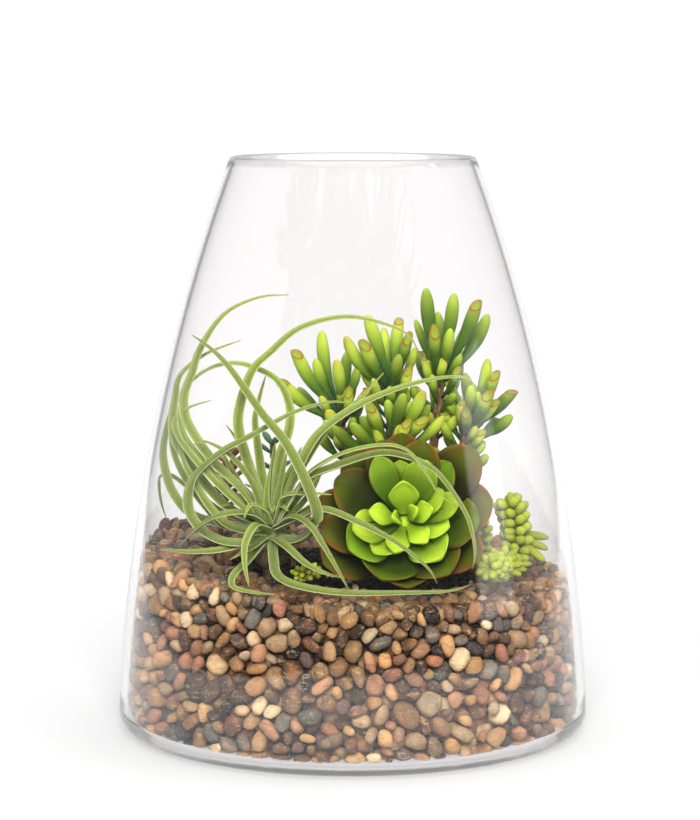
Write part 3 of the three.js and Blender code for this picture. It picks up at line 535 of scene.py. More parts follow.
class Draft:
    """Closed surfaces that become one mesh, with float values on their points"""

    def __init__(self, *names):
        self.points = []
        self.faces = []
        self.values = {name: [] for name in names}
        self.count = 0

    def add(self, points, faces, **values):
        points = np.asarray(points, float)
        for name, kept in self.values.items():
            kept.append(np.broadcast_to(values.get(name, 0.0), len(points)))
        self.faces.extend([[corner + self.count for corner in face] for face in faces])
        self.points.append(points)
        self.count += len(points)

    def loft(self, rings, **values):
        """Closes rings of points into a skin; values are per ring, per column or per ring and column"""
        rings = np.asarray(rings, float)
        steps, columns = rings.shape[:2]
        points = np.vstack([rings.reshape(-1, 3), rings[0].mean(0), rings[-1].mean(0)])
        row = np.arange(steps - 1)[:, None] * columns
        column = np.arange(columns)[None]
        after = (column + 1) % columns
        sides = np.stack([row + column, row + after, row + columns + after, row + columns + column], -1)
        last = (steps - 1) * columns
        start = np.stack([after[0], column[0], np.full(columns, steps * columns)], -1)
        end = np.stack([last + column[0], last + after[0], np.full(columns, steps * columns + 1)], -1)
        quads = sides.reshape(-1, 4)
        corners = np.vstack([quads[:, :3], quads[:, [0, 2, 3]], start, end])
        a, b, c = (points[corners[:, i]] for i in range(3))
        faces = quads.tolist() + start.tolist() + end.tolist()
        if np.einsum("ij,ij->", a, np.cross(b, c)) < 0:
            faces = [face[::-1] for face in faces]
        spread_out = {}
        for name, value in values.items():
            whole = np.broadcast_to(np.asarray(value, float), (steps, columns))
            spread_out[name] = np.concatenate([whole.ravel(), [whole[0].mean(), whole[-1].mean()]])
        self.add(points, faces, **spread_out)

    def piece(self, name, material):
        mesh = bpy.data.meshes.new(name)
        mesh.from_pydata((np.vstack(self.points) * MM).tolist(), [], self.faces)
        mesh.shade_smooth()
        for title, kept in self.values.items():
            mesh.attributes.new(title, "FLOAT", "POINT").data.foreach_set("value", np.concatenate(kept))
        mesh.update()
        mesh.materials.append(material)
        return new_object(name, mesh)


def new_object(name, mesh):
    made = bpy.data.objects.new(name, mesh)
    bpy.context.scene.collection.objects.link(made)
    return made


def settle(piece, slot, *nodes):
    """Lets a finished piece ride on the jar's body and stand for its solids"""
    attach(piece, "root")
    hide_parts(*nodes)
    return piece


def smooth_path(points, count):
    """Evenly spaced places on a round line through points, and the directions there"""
    knots = np.array(points, float)
    knots = np.vstack([2 * knots[0] - knots[1], knots, 2 * knots[-1] - knots[-2]])
    share = np.linspace(0, 1, 20, endpoint=False)[:, None]
    line = []
    for a, b, c, d in zip(knots, knots[1:], knots[2:], knots[3:]):
        before, here, next_one = (np.linalg.norm(q - p) ** 0.5 for p, q in ((a, b), (b, c), (c, d)))
        leave = (c - b) + here * ((b - a) / before - (c - a) / (before + here))
        arrive = (c - b) + here * ((d - c) / next_one - (d - b) / (here + next_one))
        line.append((2 * share**3 - 3 * share**2 + 1) * b + (share**3 - 2 * share**2 + share) * leave
                    + (3 * share**2 - 2 * share**3) * c + (share**3 - share**2) * arrive)
    line = np.vstack([*line, knots[-2]])
    walked = np.concatenate([[0], np.cumsum(np.linalg.norm(np.diff(line, axis=0), axis=1))])
    even = np.linspace(0, walked[-1], count)
    places = np.stack([np.interp(even, walked, line[:, i]) for i in range(3)], -1)
    return places, unit(np.gradient(places, axis=0)), walked[-1]


def across(direction, along):
    """A direction made square to a path at each of its places"""
    direction = np.broadcast_to(np.asarray(direction, float), along.shape)
    return unit(direction - along * np.einsum("ij,ij->i", direction, along)[:, None])


def tube(draft, points, radius_at, steps=24, columns=12, **values):
    places, along, _ = smooth_path(points, steps)
    face = across((0.3, 0.9, 0.3), along)
    side = np.cross(along, face)
    turn = np.linspace(0, TURN, columns, endpoint=False)[None, :, None]
    radius = radius_at(np.linspace(0, 1, steps))[:, None, None]
    rings = places[:, None] + (side[:, None] * np.cos(turn) + face[:, None] * np.sin(turn)) * radius
    draft.loft(rings, **values)


def blade(draft, places, along, facing, width, lift, thick, hollow=1.5, half_columns=7, **values):
    """A fleshy channelled leaf laid along places, open towards facing"""
    side = unit(np.cross(along, facing))
    over = np.linspace(-1, 1, half_columns)
    reach = np.concatenate([over, over[::-1][1:-1]])
    upper = np.concatenate([np.ones(half_columns), np.zeros(half_columns - 2)])
    flesh = np.sqrt(np.clip(1 - np.abs(reach) ** 2.4, 0, 1)) * upper
    height = lift[:, None] * (np.abs(reach) ** hollow - 0.5) + thick[:, None] * flesh
    rings = (places[:, None] + side[:, None] * (reach[None, :, None] * width[:, None, None] / 2)
             + facing[:, None] * height[..., None])
    share = np.linspace(0, 1, len(places))[:, None]
    draft.loft(rings, along=share, across=reach[None], upper=upper[None], **values)


# The shapes that the contents share with the jar


class JarOutline:
    """The jar's radius at a height, outside and inside, in millimetres"""

    def __init__(self, settings):
        names = ("height", "foot_radius", "low_shoulder", "high_shoulder", "mouth_radius", "wall", "floor",
                 "foot_corner", "inner_corner")
        for name in names:
            setattr(self, name, getattr(settings, name) / MM)

    def outer(self, z):
        t = np.clip((np.asarray(z, float) - self.foot_corner) / (self.height - self.foot_corner), 0, 1)
        s = 1 - t
        low = s**3 * self.foot_radius + 3 * s**2 * t * self.low_shoulder
        return low + 3 * s * t**2 * self.high_shoulder + t**3 * self.mouth_radius

    def inner(self, z):
        z = np.asarray(z, float)
        corner_top = self.floor + self.inner_corner
        down = np.clip((corner_top - z) / self.inner_corner, 0, 1)
        corner_wall = self.outer(corner_top) - self.wall
        corner = corner_wall - self.inner_corner * (1 - np.sqrt(1 - down**2))
        return np.where(z < corner_top, corner, self.outer(z) - self.wall)


def bed_top(x, y):
    away = np.hypot(x - MOUND_AT[0], y - MOUND_AT[1]) / MOUND_SPREAD
    return BED_LEVEL + BED_SLOPE_X * x + BED_SLOPE_Y * y + MOUND_HEIGHT * np.exp(-away * away)


def soil_share(x, y):
    """0 at the middle of the soil and 1 at its edge"""
    return np.hypot((x - SOIL_AT[0]) / SOIL_REACH[0], (y - SOIL_AT[1]) / SOIL_REACH[1])


def soil_place(share, turn):
    """Where the soil's oval, drawn in to a share of its reach, lies at a turn"""
    x = SOIL_AT[0] + SOIL_REACH[0] * share * np.cos(turn)
    return x, SOIL_AT[1] + SOIL_REACH[1] * share * np.sin(turn)


def soil_top(x, y):
    share = soil_share(x, y)
    rough = SOIL_ROUGH * np.sin(x * 0.35) * np.cos(y * 0.41)
    return bed_top(x, y) - 5 + SOIL_CROWN * (1 - share * share) + rough * (1 - share)


def rooted(x, y):
    """The foot of a stem that stands in the soil"""
    return float(soil_top(x, y)) - HOLE_DEPTH


# Finishes


def glass_finish(settings):
    look = Finish("clear_glass")
    ripple = look.noise(look.place, 9.0, detail=1.0)
    smear = look.noise(look.place, 34.0, detail=2.0)
    normal = look.bump(ripple, 0.05, 0.002)
    look.surface((*settings.tint, 1), smear.between(0.45, 0.8) * 0.02, normal,
                 IOR=1.5, Transmission_Weight=1.0)
    output = look.tree.nodes["Material Output"]
    glass = Signal(look, output.inputs[0].links[0].from_socket)
    shadow = look.node("ShaderNodeLightPath").other("Is Shadow Ray")
    height = look.parts(look.place).other("Z")
    rim = height.between(settings.height - 0.005, settings.height - 0.002) * 0.55
    clear = look.node("ShaderNodeBsdfTransparent", None, {0: (0.95, 0.95, 0.95, 1)})
    share = shadow.maths("MAXIMUM", shadow, rim)
    both = look.node("ShaderNodeMixShader", None, {0: share, 1: glass, 2: clear})
    look.tree.links.new(both.socket, output.inputs[0])
    return look.material


PEBBLE_COLOURS = [
    (0.00, (188, 148, 102)), (0.15, (142, 106, 74)), (0.27, (198, 150, 98)), (0.36, (222, 194, 152)),
    (0.42, (172, 126, 94)), (0.54, (90, 70, 56)), (0.63, (162, 110, 86)), (0.70, (118, 112, 102)),
    (0.76, (56, 54, 53)), (0.83, (172, 142, 106)), (0.90, (100, 80, 72)), (0.95, (204, 170, 126)),
]


def pebble_finish():
    look = Finish("river_pebbles")
    tone = look.attribute("tone")
    shade = look.attribute("shade")
    own = look.moved(look.place, tone * 3.0 + shade)
    colour = look.ramp(tone, [(place, rgb(*seen)) for place, seen in PEBBLE_COLOURS], "CONSTANT")
    clouds = look.noise(own, 190.0, detail=3.0, roughness=0.6)
    colour = look.tinted(colour, 0.32 + shade * 0.80 + (clouds - 0.5) * 1.0)
    warm = look.noise(own, 120.0, detail=2.0)
    colour = look.mix(warm.between(0.52, 0.72) * 0.34, colour, rgb(192, 126, 68))
    bands = look.noise(look.stretched(own, 1.0, 1.0, 4.0), 110.0, detail=3.0, distortion=1.5)
    colour = look.mix(bands.between(0.56, 0.66) * shade * 0.5, colour, rgb(84, 58, 40))
    colour = look.mix(bands.between(0.42, 0.34) * (1 - shade) * 0.4, colour, rgb(224, 192, 146))
    grains = look.noise(own, 1500.0, detail=2.0)
    colour = look.mix(grains.between(0.62, 0.72) * 0.35, colour, rgb(60, 46, 38))
    pale = look.cells(own, 700.0).between(0.30, 0.12)
    colour = look.mix(pale * 0.3, colour, rgb(226, 204, 172))
    height = clouds * 0.6 + grains * 0.25
    normal = look.bump(height, 0.35, 0.0006)
    return look.surface(colour, 0.52 + (grains - 0.5) * 0.3, normal, Specular_IOR_Level=0.4)


def gravel_finish():
    look = Finish("shaded_gravel")
    lumps = look.cells(look.place, 105.0)
    tone = look.node("ShaderNodeSeparateColor", None, {0: lumps.other("Color")})
    colour = look.ramp(tone, [(place, rgb(*seen)) for place, seen in PEBBLE_COLOURS], "CONSTANT")
    # Painted shade: the gravel is drawn dark overall and darker still towards the edges of its lumps, as deep
    # pebbles in shadow
    colour = look.tinted(colour, 0.6 - lumps.between(0.2, 0.75) * 0.55)
    grains = look.noise(look.place, 900.0)
    return look.surface(colour, 0.8 + grains * 0.1, look.bump(1 - lumps, 0.8, 0.004))


def soil_finish(settings):
    look = Finish("potting_soil")
    fine = look.noise(look.place, 700.0, detail=4.0, roughness=0.65)
    clods = look.noise(look.place, 130.0, detail=3.0)
    damp = look.mix(clods.between(0.35, 0.7), rgb(20, 15, 12), settings.soil_colour)
    fibres = look.noise(look.stretched(look.place, 1.0, 3.0, 1.0), 420.0, distortion=1.2)
    colour = look.mix(fibres.between(0.64, 0.7) * 0.6, damp, rgb(96, 70, 46))
    colour = look.mix(look.attribute("tone").between(0.955, 0.965), colour, rgb(188, 182, 168))
    return look.surface(colour, 0.78 + fine * 0.2, look.bump(fine + clods * 0.5, 0.7, 0.0015))


def air_plant_finish(settings):
    look = Finish("air_plant_leaf")
    along, over, tone = (look.attribute(name) for name in ("along", "across", "tone"))
    base, frost = settings.air_plant, settings.frost
    colour = look.mix(along.between(0.0, 0.3), rgb(150, 160, 100), base)
    colour = look.mix(along.between(0.55, 1.0) * 0.6, colour, rgb(168, 174, 88))
    colour = look.tinted(colour, 0.64 + tone * 0.36)
    # Painted shade: the middle of the channel on the leaf's upper side is drawn darker, as the shade in the
    # groove
    inside = 1 - over.size().between(0.12, 0.62)
    upper = look.attribute("upper")
    colour = look.mix(inside * upper * 0.7, colour, rgb(92, 112, 44))
    lines = look.noise(look.vector(along * 5.0, over * 7.0, tone * 40.0), 6.0, detail=3.0)
    colour = look.tinted(colour, 0.8 + lines * 0.36)
    edge = over.size().between(0.8, 0.98)
    colour = look.mix(edge * 0.85, colour, rgb(224, 230, 184))
    colour = look.mix(look.attribute("stem"), colour, look.tinted(bark(look), 0.3))
    scales = look.noise(look.place, 2600.0, detail=2.0)
    colour = look.mix(scales.between(0.5, 0.7) * 0.34, colour, frost)
    normal = look.bump(lines * 0.6 + scales * 0.5, 0.3, 0.0004)
    return look.surface(colour, 0.62 + scales * 0.2, normal, Subsurface_Weight=0.12,
                        Subsurface_Radius=(0.5, 1.0, 0.25), Subsurface_Scale=0.003)


def bark(look):
    fine = look.noise(look.stretched(look.place, 1.0, 1.0, 0.35), 900.0, detail=3.0)
    return look.ramp(fine, [(0.3, rgb(72, 52, 34)), (0.55, rgb(128, 98, 64)), (0.8, rgb(168, 142, 100))])


def jade_finish(settings):
    look = Finish("finger_jade_leaf")
    along, tone, rim, cup = (look.attribute(name) for name in ("along", "tone", "rim", "cup"))
    body, tip = settings.jade, settings.jade_tip
    # The root is drawn dark teal: partly the leaf's own colour, partly painted shade where the leaves crowd
    # round the stem
    colour = look.mix(along.between(0.0, 0.6), rgb(24, 62, 42), body)
    colour = look.mix((along + (tone - 0.5) * 0.3).between(0.48, 1.0) * 0.9, colour, tip)
    patches = look.noise(look.moved(look.place, tone * 5.0), 90.0, detail=2.0)
    colour = look.tinted(colour, 0.62 + tone * 0.36 + patches * 0.36)
    colour = look.mix(cup * 0.8, colour, rgb(142, 160, 56))
    red = rim * look.noise(look.place, 380.0).between(0.2, 0.5)
    colour = look.mix(red, colour, rgb(150, 10, 14))
    flush = along.between(0.82, 1.0) * tone.between(0.62, 0.9) * (1 - cup)
    colour = look.mix(flush * 0.4, colour, rgb(186, 96, 52))
    dots = look.cells(look.place, 1300.0).between(0.34, 0.16)
    colour = look.mix(dots * 0.22, colour, rgb(206, 220, 130))
    colour = look.mix(look.attribute("stem"), colour, bark(look))
    normal = look.bump(patches * 0.5 + dots * 0.2, 0.22, 0.0005)
    return look.surface(colour, 0.34 + patches * 0.16, normal, Subsurface_Weight=0.22,
                        Subsurface_Radius=(0.6, 1.0, 0.2), Subsurface_Scale=0.005)


def rosette_finish(settings):
    look = Finish("echeveria_leaf")
    along, over, tone, outer = (look.attribute(name) for name in ("along", "across", "tone", "outer"))
    fresh, bronze = settings.rosette, settings.rosette_edge
    colour = look.mix(outer.between(0.1, 0.5), fresh, rgb(108, 156, 28))
    colour = look.mix(outer.between(0.5, 0.9), colour, rgb(82, 90, 18))
    # Painted highlight: the inner leaves get lighter and yellower towards their tips
    colour = look.mix(along.between(0.1, 0.8) * (1 - outer.between(0.3, 0.7)), colour, rgb(190, 216, 62))
    veins = look.noise(look.vector(along * 1.2, over * 4.0, tone * 31.0), 3.0, detail=3.0)
    colour = look.tinted(colour, 0.88 + tone * 0.26 + veins * 0.5)
    edge = (over.size() * 0.5 + along * 0.6 + (veins - 0.5) * 0.8).between(0.5, 1.1)
    colour = look.mix(edge * outer.between(0.42, 0.85) * 0.85, colour, bronze)
    under = 1 - look.attribute("upper")
    colour = look.mix(under * outer.between(0.2, 0.7) * 0.5, colour, rgb(110, 70, 44))
    # Painted highlight and shade: the sides of the inner leaves are drawn darker green, so their middles read
    # as glossy
    colour = look.mix(over.size().between(0.35, 1.0) * (1 - outer) * 0.4, colour, rgb(62, 138, 18))
    # Painted shade: leaves are drawn darker towards their roots, near black on the outer ones, for the shade
    # where the leaves overlap
    colour = look.mix(along.between(0.62, 0.1) * (0.6 + outer * 0.3), colour, rgb(22, 44, 8))
    colour = look.mix(along.between(0.85, 0.5) * outer * 0.9, colour, rgb(12, 16, 5))
    dots = look.noise(look.place, 1800.0)
    normal = look.bump(veins * 0.7 + dots * 0.15, 0.25, 0.0008)
    colour = look.mix(look.attribute("stem"), colour, bark(look))
    return look.surface(colour, 0.36 + veins * 0.16, normal, Subsurface_Weight=0.2,
                        Subsurface_Radius=(0.5, 1.0, 0.15), Subsurface_Scale=0.006)


def plump_finish(name, colour, tip, shadow):
    """A small waxy leaf: shaded at its root, with a lighter tip"""
    look = Finish(name)
    along, tone = look.attribute("along"), look.attribute("tone")
    wax = look.mix(along.between(0.0, 0.5), shadow, colour)
    wax = look.mix(along.between(0.55, 1.0) * 0.8, wax, tip)
    patches = look.noise(look.moved(look.place, tone * 4.0), 260.0, detail=2.0)
    wax = look.tinted(wax, 0.74 + tone * 0.26 + patches * 0.26)
    dots = look.noise(look.place, 2200.0)
    wax = look.mix(dots.between(0.6, 0.7) * 0.25, wax, rgb(226, 232, 178))
    wax = look.mix(look.attribute("stem"), wax, bark(look))
    normal = look.bump(patches + dots * 0.3, 0.2, 0.0004)
    return look.surface(wax, 0.36 + patches * 0.18, normal, Subsurface_Weight=0.2,
                        Subsurface_Radius=(0.6, 1.0, 0.2), Subsurface_Scale=0.004)


# The jar


def jar_profile(outline, steps=40, corner_steps=10):
    """The outline of the glass from the middle of its underside round the rim to the middle of its floor"""
    points = [(0, 0), (outline.foot_radius - outline.foot_corner - 1.5, 0)]
    for turn in np.linspace(0, math.pi / 2, corner_steps):
        points.append((outline.foot_radius - outline.foot_corner * (1 - math.sin(turn)),
                       outline.foot_corner * (1 - math.cos(turn))))
    rim = outline.wall / 2
    wall_top = outline.height - rim
    for z in np.linspace(outline.foot_corner, wall_top, steps)[1:]:
        points.append((float(outline.outer(z)), z))
    rim_middle = float(outline.outer(wall_top)) - rim
    for turn in np.linspace(0, math.pi, corner_steps)[1:-1]:
        points.append((rim_middle + rim * math.cos(turn), wall_top + rim * math.sin(turn)))
    corner_top = outline.floor + outline.inner_corner
    for z in np.linspace(wall_top, corner_top, steps):
        points.append((float(outline.outer(z)) - outline.wall, z))
    corner_wall = points[-1][0]
    for turn in np.linspace(math.pi / 2, 0, corner_steps)[1:]:
        points.append((corner_wall - outline.inner_corner * (1 - math.sin(turn)),
                       outline.floor + outline.inner_corner * (1 - math.cos(turn))))
    return points + [(points[-1][0] - 1.5, outline.floor), (0, outline.floor)]


def turned(graph, profile, Sides, Points):
    """Turns a profile of points round the upright axis into a closed skin"""
    sockets = {"Size X": 1.0, "Size Y": 1.0, "Vertices X": Sides + 1, "Vertices Y": Points}
    sheet = graph.node("GeometryNodeMeshGrid", None, sockets)
    index = graph.node("GeometryNodeInputIndex")
    step = index.maths("FLOOR", index / Points + 0.001)
    at = index - step * Points
    sample = graph.node("GeometryNodeSampleIndex", {"data_type": "FLOAT_VECTOR", "domain": "POINT"})
    wanted = {"Geometry": profile, "Value": graph.node("GeometryNodeInputPosition"), "Index": at}
    for name, source in wanted.items():
        graph.tree.links.new(source.socket, sample.socket.node.inputs[name])
    parts = graph.parts(sample)
    radius, height = parts.other("X"), parts.other("Z")
    turn = step / Sides * TURN
    place = graph.vector(radius * turn.maths("COSINE", turn), radius * turn.maths("SINE", turn), height)
    moved = graph.node("GeometryNodeSetPosition", None, {"Geometry": sheet, "Position": place})
    return graph.node("GeometryNodeMergeByDistance", None, {"Geometry": moved, "Distance": 2e-6})


class TERRARIUM_OT_jar(bpy.types.Operator):
    """Turns the glass jar from its outline"""

    bl_idname = "terrarium.jar"
    bl_label = "Glass Jar"

    def execute(self, context):
        settings = context.scene.terrarium_jar
        profile = jar_profile(JarOutline(settings))
        mesh = bpy.data.meshes.new("jar_outline")
        edges = [(i, i + 1) for i in range(len(profile) - 1)]
        mesh.from_pydata([(r * MM, 0, z * MM) for r, z in profile], edges, [])
        steps = {"Sides": settings.sides, "Points": len(profile)}
        jar = grown(new_object("terrarium_jar", mesh), "turned jar", glass_finish(settings), turned, **steps)
        face_outwards(jar.data)
        settle(jar, "clear_glass", "glass_jar")
        return {"FINISHED"}


def face_outwards(mesh):
    """Turns a closed skin round if it encloses a negative volume"""
    mesh.calc_loop_triangles()
    points = np.zeros(len(mesh.vertices) * 3)
    mesh.vertices.foreach_get("co", points)
    corners = np.zeros(len(mesh.loop_triangles) * 3, int)
    mesh.loop_triangles.foreach_get("vertices", corners)
    a, b, c = points.reshape(-1, 3)[corners.reshape(-1, 3)].transpose(1, 0, 2)
    if np.einsum("ij,ij->", a, np.cross(b, c)) < 0:
        mesh.flip_normals()


# The pebble bed


class Pebbles:
    """Where pebbles, crumbs or small leaves lie: middles, half lengths of three axes, and their turns"""

    def __init__(self, middles, halves, turns):
        self.middles = middles
        self.halves = halves
        self.turns = turns

    def reach(self, direction):
        """How far each pebble reaches from its middle in a direction of its own"""
        local = np.einsum("nij,n...i->n...j", self.turns, direction)
        halves = self.halves.reshape(len(self.halves), *[1] * (local.ndim - 2), 3)
        return np.linalg.norm(local * halves, axis=-1)

    def height(self):
        """How far each pebble reaches up from its middle"""
        return self.reach(np.broadcast_to([0, 0, 1.0], self.middles.shape))

    def picked(self, chosen):
        return Pebbles(self.middles[chosen], self.halves[chosen], self.turns[chosen])


def all_together(layers):
    """The pebbles of several layers as one, in their order"""
    return Pebbles(*(np.concatenate([getattr(layer, name) for layer in layers])
                     for name in ("middles", "halves", "turns")))


def random_turns(rng, count, lying):
    """Turns of pebbles, from any way up, with lying at 0, to flat at 1"""
    spin = rng.uniform(0, TURN, count)
    tilt = np.arccos(rng.uniform(-1, 1, count)) * (1 - lying)
    lean = rng.uniform(0, TURN, count)

    def about(axis, angle):
        first, second = (0, 1) if axis == "z" else (1, 2)
        turned_by = np.tile(np.eye(3), (count, 1, 1))
        turned_by[:, first, first] = turned_by[:, second, second] = np.cos(angle)
        turned_by[:, second, first] = np.sin(angle)
        turned_by[:, first, second] = -np.sin(angle)
        return turned_by

    return about("z", lean) @ about("x", tilt) @ about("z", spin)


def random_halves(rng, count, smallest, largest):
    longest = smallest + (largest - smallest) * rng.beta(1.6, 2.6, count)
    middling = longest * rng.uniform(0.56, 0.9, count)
    return np.stack([longest, middling, longest * rng.uniform(0.42, 0.68, count)], -1)


def on_circle(radius, turn, z=0.0):
    return np.stack([radius * np.cos(turn), radius * np.sin(turn), z + 0 * turn], -1)


def scattered(rng, edge, least, count):
    """Flat places drawn from a share of a circle's area out to its edge"""
    turn = rng.uniform(0, TURN, count)
    return on_circle(edge * np.sqrt(rng.uniform(least, 1, count)), turn)


def keep_inside(places, edge):
    away = np.hypot(places[:, 0], places[:, 1])[:, None]
    places[:] = np.where(away > edge, places * edge / np.maximum(away, 1e-6), places)


def spread(pebbles, hold, wrap=None, rounds=46):
    """Pushes flat places apart until the pebbles there lie side by side; hold keeps them in bounds"""
    lift = pebbles.turns * pebbles.halves[:, None, :]
    form = np.einsum("nij,nkj->nik", lift, lift)
    xx, xy, yy = form[:, 0, 0], form[:, 0, 1], form[:, 1, 1]
    places = pebbles.middles[:, :2].copy()
    for _ in range(rounds):
        apart = places[:, None] - places[None]
        if wrap:
            apart[..., 0] -= wrap * np.round(apart[..., 0] / wrap)
        distance = np.hypot(apart[..., 0], apart[..., 1]) + 1e-6
        x, y = apart[..., 0] / distance, apart[..., 1] / distance
        reach = np.sqrt(xx[:, None] * x * x + 2 * xy[:, None] * x * y + yy[:, None] * y * y)
        push = np.clip((reach + reach.T) * 0.93 - distance, 0, None)
        np.fill_diagonal(push, 0)
        places += 0.24 * np.stack([(push * x).sum(1), (push * y).sum(1)], -1)
        hold(places)
    pebbles.middles[:, :2] = places


def wall_layer(rng, outline, count, sizes, depth):
    """Pebbles that stand round the wall, depth behind it, spread on the wall unrolled into a strip"""
    halves = random_halves(rng, count, *sizes)
    turns = random_turns(rng, count, lying=0)
    girth = TURN * (float(outline.inner(50)) - depth - 5)
    low, high = outline.floor + 1.5, BED_LEVEL + 14
    middles = np.stack([rng.uniform(0, girth, count), rng.uniform(low, high, count), np.zeros(count)], -1)
    pebbles = Pebbles(middles, halves, turns)
    uneven = rng.uniform(1.5, 8, count)

    def hold(places):
        turn = places[:, 0] / girth * TURN
        edge = outline.inner(BED_LEVEL) - depth
        top = bed_top(edge * np.cos(turn), edge * np.sin(turn)) - uneven
        places[:, 1] = np.clip(places[:, 1], low, top - depth * 0.25)

    spread(pebbles, hold, wrap=girth)
    turn = pebbles.middles[:, 0] / girth * TURN
    z = pebbles.middles[:, 1].copy()
    out = on_circle(1, turn)
    round_it = np.stack([-out[:, 1], out[:, 0], out[:, 2]], -1)
    up = np.broadcast_to([0, 0, 1.0], out.shape)
    placed = Pebbles(middles, halves, np.stack([round_it, up, out], -1) @ turns)
    radius = outline.inner(z) - 0.4 - depth - placed.reach(out) * 0.86
    placed.middles = on_circle(radius, turn, z)
    return placed


def top_layer(rng, outline, count, sizes, depth):
    """Pebbles that lie round the soil and the stems, depth below the top of the bed"""
    halves = random_halves(rng, count, *sizes)
    turns = random_turns(rng, count, lying=0.55)
    edge = float(outline.inner(BED_LEVEL)) - 6 - depth * 0.4
    pebbles = Pebbles(scattered(rng, edge, 0.3, count), halves, turns)

    def hold(places):
        share = soil_share(places[:, 0], places[:, 1])[:, None]
        rim = 0.8 + depth * 0.02
        middle = np.array(SOIL_AT)
        places[:] = np.where(share < rim, middle + (places - middle) * rim / np.maximum(share, 0.05), places)
        for spec in (*SEDUMS.values(), *SPRIGS.values()):
            off = places - np.array(spec["root"])
            near = np.hypot(off[:, 0], off[:, 1])[:, None]
            moved = spec["root"] + off * ROOM_AT_STEMS / np.maximum(near, 0.1)
            places[:] = np.where(near < ROOM_AT_STEMS, moved, places)
        keep_inside(places, edge)

    spread(pebbles, hold)
    top = bed_top(pebbles.middles[:, 0], pebbles.middles[:, 1])
    pebbles.middles[:, 2] = top - depth - pebbles.height() * 0.8 + rng.uniform(-1.0, 1.6, count)
    return pebbles


def floor_layer(rng, outline, count, sizes):
    """Pebbles that lie on the glass floor"""
    halves = random_halves(rng, count, *sizes)
    edge = float(outline.inner(outline.floor + 3)) - 3.5
    pebbles = Pebbles(scattered(rng, edge, 0, count), halves, random_turns(rng, count, lying=0.6))
    spread(pebbles, lambda places: keep_inside(places, edge))
    pebbles.middles[:, 2] = outline.floor + 0.3 + pebbles.height() * 0.9
    return pebbles


def laid_out(graph, places, shape):
    """A copy of a shape at every place, with the size and turn that are stored there"""
    stored = {"data_type": "FLOAT_VECTOR"}
    size = graph.node("GeometryNodeInputNamedAttribute", stored, {"Name": "halves"})
    turn = graph.node("GeometryNodeInputNamedAttribute", stored, {"Name": "turn"})
    return graph.node("GeometryNodeInstanceOnPoints", None, {
        "Points": places, "Instance": shape, "Rotation": turn, "Scale": size})


def rounded_stones(graph, places, Edge_points):
    """A block rounded into a ball at every place"""
    sockets = {"Size": (2.0, 2.0, 2.0), "Vertices X": Edge_points, "Vertices Y": Edge_points,
               "Vertices Z": Edge_points}
    block = graph.node("GeometryNodeMeshCube", None, sockets)
    position = graph.node("GeometryNodeInputPosition")
    ball = graph.node("ShaderNodeVectorMath", {"operation": "NORMALIZE"}, {0: position})
    stone = graph.node("GeometryNodeSetPosition", None, {"Geometry": block, "Position": ball})
    return laid_out(graph, places, stone)


def cloud(name, places, finish, shape, values, **steps):
    """A piece that holds a shape at each place, with the values that its finish reads"""
    mesh = bpy.data.meshes.new(name)
    mesh.from_pydata((places.middles * MM).tolist(), [], [])
    angles = [Matrix(turn.tolist()).to_euler() for turn in places.turns]
    for title, vectors in (("halves", places.halves * MM), ("turn", np.array(angles))):
        mesh.attributes.new(title, "FLOAT_VECTOR", "POINT").data.foreach_set("vector", vectors.ravel())
    for title, numbers in values.items():
        mesh.attributes.new(title, "FLOAT", "POINT").data.foreach_set("value", numbers)
    return grown(new_object(name, mesh), name.replace("_", " "), finish, shape, **steps)


def pressed(mesh, chosen, pebbles, outline, rng, sharpness=11.0, neighbours=14):
    """Flattens each chosen pebble where it meets its neighbours and the glass, and on worn faces of its own

    Along each ray from its middle a point stands where a soft minimum of all those distances puts it.
    """
    count = len(chosen)
    points = np.zeros(len(mesh.vertices) * 3)
    mesh.vertices.foreach_get("co", points)
    points = points.reshape(count, -1, 3) / MM
    middles = pebbles.middles[chosen]
    rays = points - middles[:, None]
    free = np.linalg.norm(rays, axis=-1)
    rays = rays / free[..., None]
    for waves, swing in ((1.1, 0.15), (2.4, 0.1), (4.8, 0.05)):
        lean, start = unit(rng.normal(size=(count, 3))), rng.uniform(0, TURN, count)
        free = free * (1 + swing * np.sin(waves * np.einsum("npk,nk->np", rays, lean) + start[:, None]))
    held = free**-sharpness

    def press(normal, distance):
        facing = np.clip(np.einsum("npk,nk->np", rays, normal), 0, None)
        held[:] += (facing / np.maximum(distance, 0.6)[:, None]) ** sharpness

    apart = np.linalg.norm(middles[:, None] - pebbles.middles[None], axis=-1)
    apart[np.arange(count), chosen] = np.inf
    nearest = np.argpartition(apart, neighbours, axis=1)[:, :neighbours]
    mine = pebbles.picked(chosen)
    for other in nearest.T:
        theirs = pebbles.picked(other)
        way = theirs.middles - middles
        distance = np.linalg.norm(way, axis=1)
        way = way / distance[:, None]
        my_reach, their_reach = mine.reach(way), theirs.reach(way)
        press(way, distance * my_reach / (my_reach + their_reach) - GAP_AT_NEIGHBOUR)
    away = np.hypot(middles[:, 0], middles[:, 1])
    for below in (5, 2.5, 0):
        z = np.maximum(middles[:, 2] - below, outline.floor + 0.6)
        slope = outline.inner(z + 0.5) - outline.inner(z - 0.5)
        wall = unit(np.stack([middles[:, 0] / away, middles[:, 1] / away, -slope], -1))
        radius = outline.inner(z) + slope * (middles[:, 2] - z)
        press(wall, (radius - GAP_AT_GLASS - away) / np.sqrt(1 + slope**2))
    press(np.broadcast_to([0, 0, -1.0], middles.shape), middles[:, 2] - outline.floor - GAP_AT_GLASS)
    for _ in range(5):
        worn = unit(rng.normal(size=(count, 3)))
        press(worn, mine.reach(worn) * rng.uniform(0.66, 1.15, count))
    points = middles[:, None] + rays * (held ** (-1 / sharpness))[..., None]
    mesh.vertices.foreach_set("co", (points * MM).ravel())
    mesh.update()


